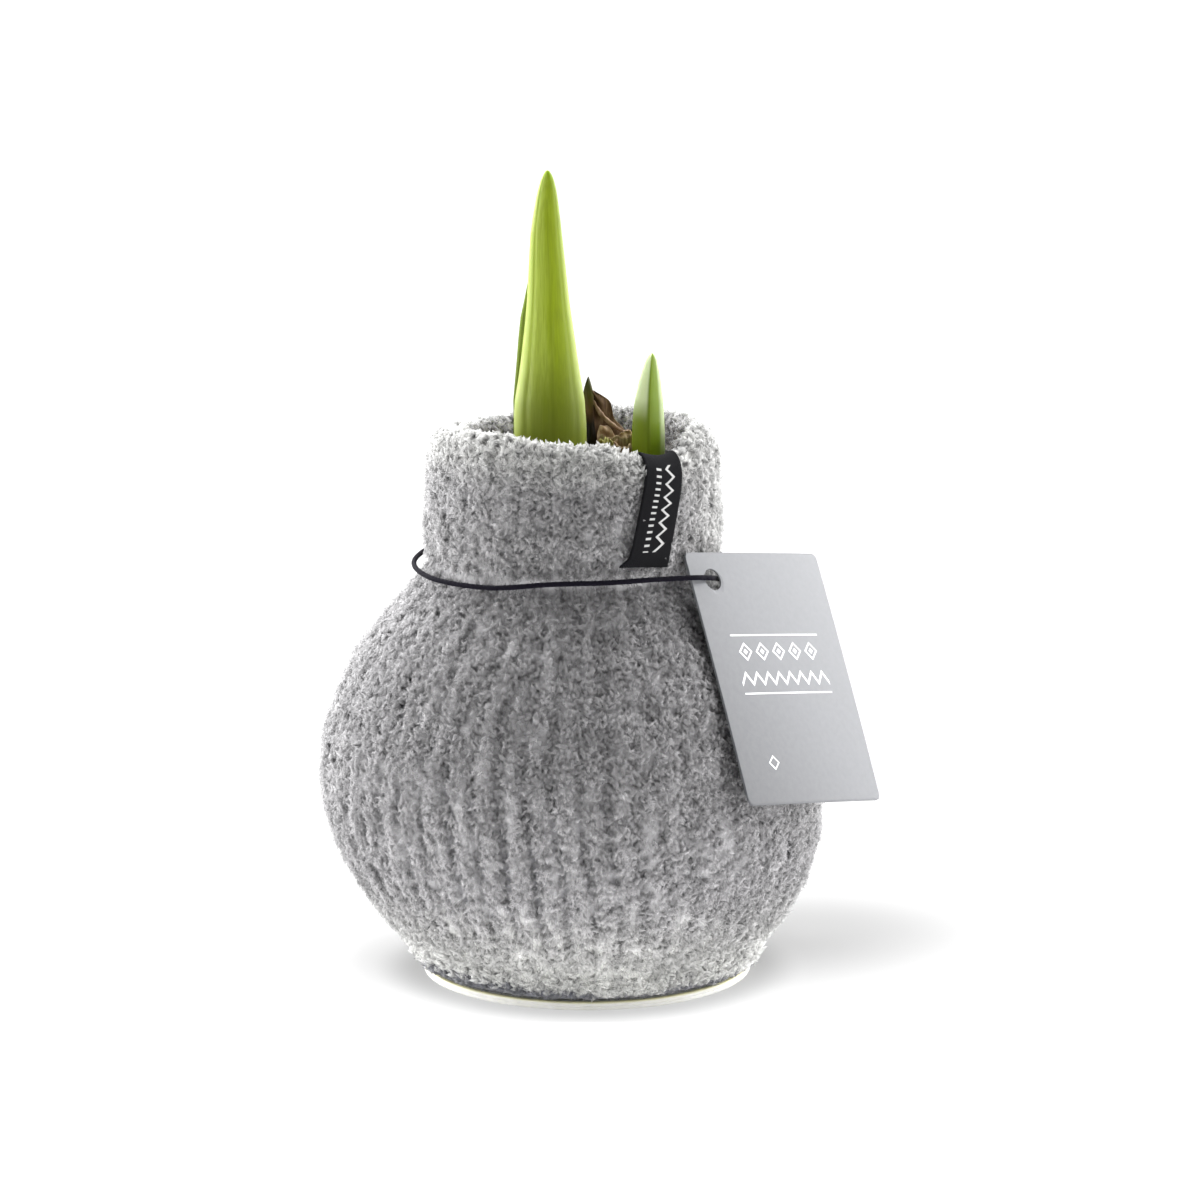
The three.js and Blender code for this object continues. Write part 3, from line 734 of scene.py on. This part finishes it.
def build_pile(name, rng, skin, azimuth, s, material):
    """Pile over one stretch of the knit, as one piece."""
    kept = has_pile(rng, skin, azimuth, s)
    azimuth, s = azimuth[kept], s[kept]
    count = len(s)
    at, normal, round_, along = skin.at(azimuth, s)
    depth, across, stitch = skin.relief(azimuth, s)
    taut = skin.taut(azimuth, s)
    foot = 1 - smoothstep(s, 0.5, 7) if skin is BODY else np.zeros(count)
    depth = depth * (1 - foot) + HEM_SPREAD * foot
    root = at + normal * (depth - PILE - ROOTED)[:, None]
    fan = round_ * (1.2 * across * (1 - 0.7 * taut))[:, None] + along * (0.5 * stitch)[:, None]
    slant = rng.normal(scale=math.radians(STRAND_SLANT), size=(count, 1)) * (1 - 0.45 * taut)[:, None]
    way = rng.choice([-1.0, 1.0], size=(count, 1))
    if skin is BODY:
        way[s < 5] = 1.0
    lean = unit(along * (way * np.cos(slant)) + round_ * np.sin(slant) + fan)
    upright = unit(normal + 0.5 * fan + np.array([0, 0, FOOT_RISE]) * foot[:, None])
    length = rng.uniform(*STRAND_LENGTH, count)
    radius = STRAND_RADIUS * rng.uniform(0.8, 1.25, count)
    points, faces, place, tone = strands(rng, root, upright, lean, length, radius)
    floor = DISC["height"]
    points[:, 2] = np.maximum(points[:, 2], floor + 0.3 + 0.1 * (points[:, 2] - floor))
    pile = new_mesh(name, points, faces)
    # Painted shade taken off each strand's tone, and painted light as its paleness
    painted_shade_and_light, pale = pile_painted_light_and_shade(skin, azimuth, s)
    # Painted shade in the grooves between the ribs
    painted_shade_and_light = painted_shade_and_light + GROOVE_PAINTED_SHADE * (FAINT + (1 - FAINT) * taut) * smoothstep(np.abs(across), 0.26, 0.44)
    paint(pile, "pile", join(place, 0.55 + 0.45 * tone - np.repeat(painted_shade_and_light, 5), np.repeat(pale, 5)))
    if skin is BODY:
        normal = normal + np.array([0, 0, FOOT_LIT]) * (1 - smoothstep(s, 2, 24))[:, None]
    outward = np.repeat(unit(normal + 0.35 * fan), 5, axis=0)
    pile.data.attributes.new("outward", "FLOAT_VECTOR", "POINT").data.foreach_set("vector", outward.ravel())
    dress(pile, material, "knit_sleeve")


def build_knit():
    build_ground()
    material = chenille()
    rng = np.random.default_rng(SEED)
    density = DENSITY
    for name, low, high in (("front", -50, 50), ("right", 50, 140), ("back", 140, 230), ("left", 230, 310)):
        azimuth, s = pile_roots(rng, BODY, density, 0.2, BODY.length, (low, high))
        build_pile("pile_" + name, rng, BODY, azimuth, s, material)
    azimuth, s = pile_roots(rng, TURNED, density, 0.0, TURNED.length - 4)
    build_pile("pile_cuff", rng, TURNED, azimuth, s, material)


# ---- shoots
def ring_heights(shoot, tip, rows):
    """Heights of a shoot's rings, closer together towards its tip, and how far up its bent part each is."""
    for z in shoot["foot"] + (tip - shoot["foot"]) * (1 - (1 - np.arange(rows + 1) / rows) ** 1.6):
        yield z, max(0, (z - shoot["straight"]) / (shoot["tip"] - shoot["straight"]))


def build_leaf(name, node, facing, tip, material):
    """A clasped leaf: flat inside, rounded outside, with thick margins. It faces 1, to the front, or -1."""
    rings, marks = [], []
    arc, flat = 48, 12
    a = PI * np.arange(arc + 1) / arc
    across = -np.cos(a)
    back = np.linspace(0.9, -0.9, flat)
    thick = np.maximum(np.sin(a), 0.35 * (1 - np.clip((np.abs(across) - 0.9) / 0.1, 0, 1) ** 2) ** 0.5)
    creases = ((0.05, -0.66, 0.07), (0.03, 0.74, 0.06))
    crease = sum(deep * np.exp(-(((across - at) / wide) ** 2)) for deep, at, wide in creases)
    inside = SHOOT["y"] - GAP / 2 * facing
    for z, above in ring_heights(SHOOT, tip, 100):
        full = float(np.interp(z, *np.array(SHOOT_WIDTHS).T))
        middle = SHOOT["x"] - SHOOT["bow"] * math.sin(0.83 * PI * above)
        if facing > 0:
            strip = 0.85 * math.sin(PI * min(1, max(0, (z - 114) / 36))) + 0.1 * min(1, full)
            low, high = middle - full + strip, middle + full
        else:
            ending = min(1, (tip - z) / 22 + 0.01) ** 0.5
            low, high = middle - full * ending - 0.02, middle + (full - min(0.6, 0.3 * full)) * ending
        x, half_width = (low + high) / 2, max(0.05, (high - low) / 2)
        depth = SHOOT["flatness"] * half_width * (thick - crease)
        outer = join(x + half_width * across, inside - depth * facing, z)
        inner = join(x + back * half_width, inside, z)
        # Pale margins with painted highlights: broad on the left, narrower on the right and only lower down
        left = 0.6 * (1 - smoothstep(across, -0.98, -0.66)) ** 1.3
        right = 0.5 * smoothstep(across, 0.70, 0.98) * (1 - smoothstep(z, 138, 156))
        margin = np.concatenate([(left + right) * smoothstep(z, 99, 118), np.zeros(flat)])
        place = np.concatenate([(across + 1) / 2, (back + 1) / 2])
        height = (z - SHOOT["foot"]) / (SHOOT["tip"] - SHOOT["foot"])
        rings.append(np.vstack([outer, inner])[::facing])
        marks.append(join(place, height, margin)[::facing])
    dress(loft(name, rings, "leaf", marks), material, node)


def build_side_shoot(material):
    """A small spear with a keel to the front, with a painted reflection left of it."""
    x, y, foot, tip, lean = (SIDE_SHOOT[key] for key in ("x", "y", "foot", "tip", "lean"))
    sides = 64
    a = circle(sides)
    across = np.cos(a)
    rings, marks = [], []
    for z, above in ring_heights(SIDE_SHOOT, tip, 70):
        half_width = float(np.interp(z, *np.array(SIDE_WIDTHS).T))
        reach = half_width * (1 - SIDE_PINCH * np.abs(np.sin(2 * a)) ** 0.8)
        rings.append(join(x + lean * above * above + reach * across, y + reach * np.sin(a), z))
        # Sets how far the painted shade towards the foot reaches
        height = 0.16 + 0.84 * (z - foot) / (tip - foot)
        # Painted reflection on the left facet, upper part
        pale = 0.62 * (1 - smoothstep(across, -0.25, 0.0)) * smoothstep(z, 112, 117)
        # Pale right edge, partly a painted highlight
        edge = 0.5 * smoothstep(across, 0.8, 1.0) * smoothstep(z, 103, 112)
        marks.append(join((across + 1) / 2, height, pale + edge))
    dress(loft("side_shoot_leaf", rings, "leaf", marks), material, "side_shoot")


def build_shoots():
    # Colours: painted-lit left, shaded right, dark for veins and painted shade, margins partly painted
    # highlight
    front = leaf_material(
        "leaf_front", (0.28, 0.355, 0.040), (0.215, 0.285, 0.006), (0.115, 0.145, 0.005), (0.42, 0.50, 0.12))
    behind = leaf_material(
        "leaf_back", (0.22, 0.29, 0.040), (0.22, 0.29, 0.035), (0.10, 0.13, 0.012), (0.26, 0.33, 0.07))
    side = leaf_material(
        "leaf_side", (0.15, 0.21, 0.008), (0.14, 0.22, 0.002), (0.135, 0.185, 0.008), (0.68, 0.77, 0.50))
    build_leaf("leaf_front_skin", "leaf_front", 1, SHOOT["tip"], front)
    build_leaf("leaf_back_skin", "leaf_back", -1, BACK_LEAF_TIP, behind)
    build_side_shoot(side)


# ---- bulb and its dried scales
def build_bulb():
    """The bulb's body up to its cut neck, with a torn papery edge round it."""
    sides = 96
    azimuth = np.arange(sides) * 360 / sides
    neck, top = BULB["neck_radius"], BULB["neck_top"]
    outline = [(BULB["base"], DISC["height"] + GAP), (24.2, 4.3)] + [(r - 0.5, z) for r, z in HOLLOW[2:-1]]
    outline += [(22.2, 87), (neck, 92), (neck, top)]
    line, _ = resample(catmull(outline, 8), 60)
    rings = []
    for radius, z in line:
        creases = 0.12 * np.sin(np.radians(azimuth) * 31) + 0.1 * np.sin(np.radians(azimuth) * 13 + z / 9)
        rings.append(around_axis(azimuth, radius + creases - 0.25, z))
    for share in (0.93, 0.8, 0.6, 0.35):
        rings.append(around_axis(azimuth, neck * share, top - 1.2 * (1 - share)))
    tunic = papery("tunic", (0.035, 0.020, 0.011), (0.16, 0.09, 0.045), (0.34, 0.22, 0.12))
    dress(loft("bulb_body", rings), tunic)
    ragged = 0.9 * np.abs(np.sin(azimuth * 0.27)) + 0.5 * np.sin(azimuth * 0.093)
    ragged += 0.3 * np.sin(azimuth * 0.71)
    rows = [(-0.5, -5, 0), (0.3, -1.5, 0), (0.1, 1.0, 0.9), (-0.15, 1.3, 1), (-0.7, 1.2, 1), (-1.6, -5, 0)]
    rings = [around_axis(azimuth, neck + out, top + rise + torn * ragged) for out, rise, torn in rows]
    edge = new_mesh("tunic_edge", np.vstack(rings), grid_quads(len(rings), sides, wrap_rows=True))
    torn_tunic = papery("torn_tunic", (0.05, 0.03, 0.016), (0.20, 0.13, 0.07), (0.42, 0.30, 0.18))
    dress(edge, torn_tunic)


def build_cut_scales():
    """The cut inner scales: low oval steps, streaked yellow-brown, with uneven edges."""
    material = papery("cut_scale", (0.05, 0.032, 0.016), (0.17, 0.12, 0.06), (0.36, 0.30, 0.17), 420.0)
    # x, y, half-width, half-depth and top of each step
    steps = [
        (-1.2, -2.2, 16.5, 14, 103.0), (0.5, -3.4, 12, 8.6, 105.4), (5.2, -4.0, 3.6, 2.6, 107.4),
        (5.8, -1.6, 3.2, 1.9, 108.8),
    ]
    a = circle(72)
    for number, (x, y, half_width, half_depth, top) in enumerate(steps):
        wave = 0.25 * np.sin(a * 5 + number) + 0.18 * np.sin(a * 11 + 2 * number)
        flute = 1 + 0.02 * np.sin(a * 23 + number)
        # share of the full size, height and unevenness of each ring, from the foot to inside the rim
        profile = [
            (1, BULB["neck_top"] - 3, 0), (1, top - 1.2, 0.3), (0.99, top - 0.3, 1), (0.93, top, 1),
            (0.84, top - 0.5, 1), (0.8, top - 1.2, 0.3),
        ]
        rings = [
            join(x + half_width * share * flute * np.cos(a), y + half_depth * share * flute * np.sin(a),
                 z + uneven * wave)
            for share, z, uneven in profile
        ]
        dress(loft("cut_scale_%d" % (number + 1), rings), material)


def sheet(name, left, right, depth, material, seed, crumple, thickness=0.5, rows=44, columns=26):
    """A thin crumpled sheet between a left and a right edge, each given as (x, z) from its foot to its tip.

    depth gives y at the foot's left, the foot's right, the tip's left and the tip's right."""
    rng = np.random.default_rng(seed)
    left, right = (resample(catmull(edge), rows)[0] for edge in (left, right))
    u, v = np.meshgrid(np.linspace(0, 1, columns), np.linspace(0, 1, rows))
    flat = left[:, None] * (1 - u[..., None]) + right[:, None] * u[..., None]
    y = (depth[0] * (1 - u) + depth[1] * u) * (1 - v) + (depth[2] * (1 - u) + depth[3] * u) * v
    for _ in range(9):
        high, wide, phase = rng.uniform(3, 16), rng.uniform(-9, 9), rng.uniform(0, 2 * PI)
        y = y + crumple * rng.uniform(0.15, 0.4) * np.sin(high * v + wide * u + phase)
    half = thickness * (0.2 + 0.3 * np.sin(PI * u) ** 0.5)
    front, back = (join(flat[..., 0], y + side * half, flat[..., 1]) for side in (-1, 1))
    dress(loft(name, np.concatenate([front, back[:, ::-1]], 1)), material)


def build_dried_scales():
    """The dried scales between the shoots: a dark one, a crumpled one with a rolled fold, and torn stubs."""
    dark_tip = [
        (0.111, (0.0, 0.0, 0.0)), (0.1135, (0.11, 0.06, 0.028)), (0.1165, (0.085, 0.075, 0.022)),
        (0.1185, (0.050, 0.055, 0.020)),
    ]
    dark = papery(
        "scale_dark", (0.003, 0.002, 0.001), (0.010, 0.007, 0.004), (0.030, 0.021, 0.011), 300.0, dark_tip)
    brown = papery("scale_brown", (0.018, 0.009, 0.005), (0.085, 0.048, 0.026), (0.19, 0.125, 0.072), 300.0)
    fold = papery("scale_fold", (0.10, 0.058, 0.036), (0.24, 0.155, 0.105), (0.40, 0.29, 0.21), 420.0)
    tan = papery("scale_tan", (0.10, 0.05, 0.03), (0.36, 0.24, 0.15), (0.60, 0.46, 0.33), 420.0)
    pale = papery("scale_pale", (0.125, 0.09, 0.025), (0.26, 0.25, 0.07), (0.48, 0.46, 0.18), 520.0)
    sheet("scale_dark",
          [(0.1, 100), (0.0, 107.7), (-0.4, 112), (-0.7, 115), (-0.7, 117.2), (-0.2, 119.2), (0.2, 120.2)],
          [(2.2, 100), (1.9, 107), (1.5, 111), (1.3, 114.0), (1.35, 116.6), (0.9, 118.6), (0.4, 120.2)],
          (-2.4, -2.0, 0.2, 0.3), dark, seed=3, crumple=0.3)
    sheet("scale_brown",
          [(1.6, 101), (1.4, 107), (0.9, 111), (0.7, 115.0), (0.9, 117.6)],
          [(8.6, 101), (8.4, 107), (7.4, 109.4), (5.5, 111.6), (5.0, 113.6), (4.4, 115.4), (1.6, 117.4)],
          (0.6, 2.6, 0.2, 0.4), brown, seed=5, crumple=0.75, rows=56, columns=40)
    middle = [
        (1.3, -0.3, 115.6), (2.0, -0.7, 114.2), (3.0, -1.0, 112.8), (4.6, -0.9, 111.2), (6.3, -0.5, 109.9),
        (7.9, 0.0, 109.0),
    ]
    line = catmull(middle, 14)
    share = np.linspace(0, 1, len(line))
    swell = np.sin(PI * np.linspace(0.04, 0.97, len(line))) ** 0.7
    size = 0.10 + 0.34 * swell * (1 + 0.25 * np.sin(share * 31) * np.sin(share * 11))
    dress(loft("scale_fold", tube(line, size, 14)), fold)
    sheet("scale_curl",
          [(5.4, 105), (5.5, 107.6), (6.1, 108.8), (6.8, 109.8)],
          [(9.3, 105), (9.3, 107.4), (9.1, 108.8), (8.6, 109.9)],
          (-4.6, -2.6, -2.8, -1.0), tan, seed=8, crumple=0.8)
    sheet("scale_torn",
          [(2.0, 103), (2.0, 107.6), (2.1, 109.4), (2.6, 110.9)],
          [(6.3, 103), (6.0, 107.2), (5.2, 109.4), (4.2, 110.6)],
          (-3.4, -3.0, -1.2, -0.9), tan, seed=21, crumple=0.8)
    # x, width, top, y and seed of each stub
    stubs = ((2.9, 1.3, 108.9, -5.6, 11), (3.9, 1.1, 109.3, -6.2, 12), (4.8, 1.2, 108.7, -5.7, 13),
             (5.7, 1.1, 108.2, -5.2, 14))
    for number, (x, width, top, y, seed) in enumerate(stubs):
        half = width / 2
        sheet("stub_%d" % (number + 1),
              [(x - half, 101), (x - half, 106), (x - 0.9 * half, top - 1), (x - 0.5 * half, top)],
              [(x + half, 101), (x + half, 106), (x + half, top - 1.4), (x + 0.6 * half, top - 0.5)],
              (y, y, y + 0.3, y + 0.4), pale if number < 3 else tan, seed, 0.5, 0.7, 26, 14)


# ---- label, cord and tag
def build_label():
    """The ribbon: up the cuff's outside, over the crest and into the mouth, with one corner standing off."""
    section, _ = resample(catmull(cuff_section(), 24), 400)
    line = np.hstack([section, unit(np.gradient(section, axis=0))])
    low, crest_at, high = LABEL_SPAN
    steps, across = 90, 24
    u = np.linspace(0, 1, across + 1)
    rings, weave = [], []
    for up in np.arange(steps + 1) / steps:
        along = low + (high - low) * up
        at = along * (len(line) - 1)
        radius, z, ahead_r, ahead_z = (np.interp(at, np.arange(len(line)), column) for column in line.T)
        middle = np.interp(along / crest_at, [0, 1, high / crest_at], LABEL["azimuths"])
        turn = middle + np.degrees((u - 0.5) * LABEL["width"] / radius)
        kick = math.exp(-((up / 0.032) ** 2)) * (1 - u) ** 4
        faces = []
        for away in (LABEL_CLEAR + LABEL["thickness"], LABEL_CLEAR):
            out = radius + ahead_z * away + KICK["out"] * kick
            point = around_axis(turn - KICK["turn"] * kick, out, z - ahead_r * away)
            point[:, 2] += KICK["rise"] * (1 - u) * math.exp(-((up / 0.1) ** 2))
            point[:, 2] += crest_rise(turn) * smoothstep(z, 90, SLEEVE_HEIGHT)
            faces.append(point)
        rings.append(np.vstack([faces[0], faces[1][::-1]]))
        front = np.r_[np.ones(across + 1), np.zeros(across + 1)]
        weave.append(join(np.r_[u, u[::-1]], up, front))
    dress(loft("label_strip", rings, "weave", weave), ribbon(), "woven_label")


# The tag's own axes as columns: to its right, behind it and up it
TAG_AXES = reduce(np.matmul, [
    np.array(Matrix.Rotation(math.radians(turn), 3, axis)) for turn, axis in zip(TAG_TURNS, "ZXY")
])
HOLE_SIDE = HOLE["from_left"] - TAG["width"] / 2
HOLE_UP = TAG["height"] / 2 - HOLE["from_top"]


def on_tag(side, up, out):
    """A point given from the tag's centre: to its right, up it and out from its front."""
    return join(side, -out, up) @ TAG_AXES.T + TAG_CENTRE


def cord_route():
    """The loop's points: across the tag's front, through its hole, and round the neck."""
    past = TAG["thickness"] / 2 + CORD_RADIUS + GAP
    through = [(-6.6, 0, past), (-3.7, 0, past), (-2.1, 0, past), (0, 0.4, 0), (2.1, 0.8, -past)]
    through_tag = [on_tag(HOLE_SIDE + side, HOLE_UP + up, out) for side, up, out in through]
    return np.array(through_tag + [around_axis(*point) for point in ROUND_NECK])


def build_cord():
    """The closed loop of elastic, a little slimmer than its solid."""
    per_span, extra, sides, count = 16, 3, 12, 419
    route = cord_route()
    looped = np.vstack([route[-extra:], route, route[:extra]])
    fine = catmull(looped, per_span)[extra * per_span:-extra * per_span]
    fine, _ = resample(np.vstack([fine, fine[:1]]), count + 1)
    rings = tube(fine[:-1], 0.85 * CORD_RADIUS, sides, closed=True)
    cord = new_mesh("cord_loop", rings.reshape(-1, 3), grid_quads(count, sides, wrap_rows=True))
    turn = np.tile(np.arange(sides) / sides, count)
    paint(cord, "cord", join(turn, np.repeat(np.arange(count) / count, sides)))
    dress(cord, elastic(), "elastic_cord")


def build_tag():
    """The card with its punched hole: rings of points run from the hole to the rounded outline and back."""
    width, height, corner = TAG["width"], TAG["height"], TAG["corner"]
    soft_edge, bow = 0.08, 0.25
    outline = []
    for right, up, start in ((1, -1, -90), (1, 1, 0), (-1, 1, 90), (-1, -1, 180)):
        a = np.radians(np.linspace(start, start + 90, 9))
        outline.append(join(right * (width / 2 - corner) + corner * np.cos(a),
                            up * (height / 2 - corner) + corner * np.sin(a)))
    outline = np.vstack(outline)
    outline = resample(np.vstack([outline, outline[:1]]), 241)[0][:-1]
    hole = np.array([HOLE_SIDE, HOLE_UP])
    rim = hole + unit(outline - hole) * HOLE["radius"]
    half = TAG["thickness"] / 2 - 0.04
    shares = np.r_[0, 0.02, np.linspace(0.06, 0.94, 16), 0.992, 1]
    rings, marks = [], []
    for front, order in ((1, shares), (0, shares[::-1])):
        for share in order:
            out = (half - (soft_edge if share in (0, 1) else 0)) * (1 if front else -1)
            x, y = (rim * (1 - share) + outline * share).T
            bend = bow * (x / (width / 2)) ** 2 + bow * (y / (height / 2)) ** 2
            rings.append(on_tag(x, y, out - bend + 0.2))
            marks.append(join(x / width + 0.5, y / height + 0.5, front))
    faces = grid_quads(len(rings), len(outline), wrap_rows=True)[:, ::-1]
    tag = new_mesh("tag_card", np.vstack(rings), faces, smooth=False)
    paint(tag, "card", np.vstack(marks))
    dress(tag, card(), "hang_tag")


def build_disc():
    """The base disc, with a rounded rim and a shallow groove round its side."""
    radius, height, sides = DISC["radius"], DISC["height"], 160
    # how far out from the radius, and the height as drawn for a disc 2.1 mm high
    profile = [
        (-0.5, 0), (-0.15, 0.1), (0, 0.35), (-0.02, 0.85), (-0.12, 0.98), (-0.02, 1.11), (0, 1.5),
        (-0.06, 1.85), (-0.3, 2.05), (-0.7, 2.1), (-1.2, 2.0),
    ]
    section = catmull([(radius + out, z * height / 2.1) for out, z in profile], 5)
    a = circle(sides)
    disc = loft("disc_moulded", [join(r * np.sin(a), -r * np.cos(a), z) for r, z in section])
    r, z = section.T
    edge = smoothstep(z, height - 0.5, height) * smoothstep(r, radius - 1.4, radius - 0.5)
    paint(disc, "disc", np.r_[np.repeat(edge, sides), 0, 0])
    dress(disc, ivory(), "base_disc")


# ---- stage
def build_camera():
    data = bpy.data.cameras.new("camera")
    data.sensor_width = CAMERA["sensor"]
    data.lens = CAMERA["focal_px"] / CAMERA["frame_px"] * CAMERA["sensor"]
    data.clip_end = 20
    place, turn = [CAMERA[k] * MM for k in "xyz"], (math.radians(90 - CAMERA["down"]), 0, 0)
    bpy.context.scene.camera = put("camera", data, place, turn)


def build_light(name, place, size, power):
    data = bpy.data.lights.new(name, "AREA")
    data.shape = "RECTANGLE"
    data.size, data.size_y = size
    data.energy = power
    towards = Vector(LIGHT_TARGET) - Vector(place)
    put(name, data, place, towards.to_track_quat("-Z", "Y").to_euler()).visible_camera = False


def build_world():
    """Soft light, mostly from the sides and behind, dimmer from the camera's side; white behind all."""
    world = bpy.data.worlds.new("studio")
    bpy.context.scene.world = world
    world.use_nodes = True
    world.node_tree.nodes.clear()
    m = Nodes(world.node_tree)
    x, y, z = m.xyz(m.node("ShaderNodeTexCoord").outputs["Generated"])
    level = m.range(y, -1.0, 0.9, WORLD["front"], WORLD["back"], "SMOOTHSTEP")
    height = m.range(z, 0.0, 1.0, 1.0, WORLD["top"])
    left = m.range(x, -1.0, 0.0, WORLD["left"], 1.0, "SMOOTHSTEP")
    right = m.range(x, 1.0, 0.0, WORLD["right"], 1.0, "SMOOTHSTEP")
    strength = m.times(m.times(level, height), m.times(left, right))
    soft = m.node("ShaderNodeBackground", {"Strength": strength}).outputs[0]
    white = m.node("ShaderNodeBackground").outputs[0]
    seen = m.node("ShaderNodeLightPath").outputs["Is Camera Ray"]
    both = m.node("ShaderNodeMixShader", {0: seen, 1: soft, 2: white}).outputs[0]
    m.node("ShaderNodeOutputWorld", {0: both})


def build_stage():
    corners = [(-6000, -6000, 0), (6000, -6000, 0), (6000, 9000, 0), (-6000, 9000, 0)]
    floor = new_mesh("floor", corners, np.array([[0, 1, 2, 3]]), smooth=False)
    floor.data.materials.append(white_floor())
    build_world()
    for light in LIGHTS:
        build_light(*light)


# ---- assembly
build_knit()
build_shoots()
build_bulb()
build_cut_scales()
build_dried_scales()
build_label()
build_cord()
build_tag()
build_disc()
build_stage()
build_camera()
bpy.context.scene.view_settings.view_transform = "Standard"
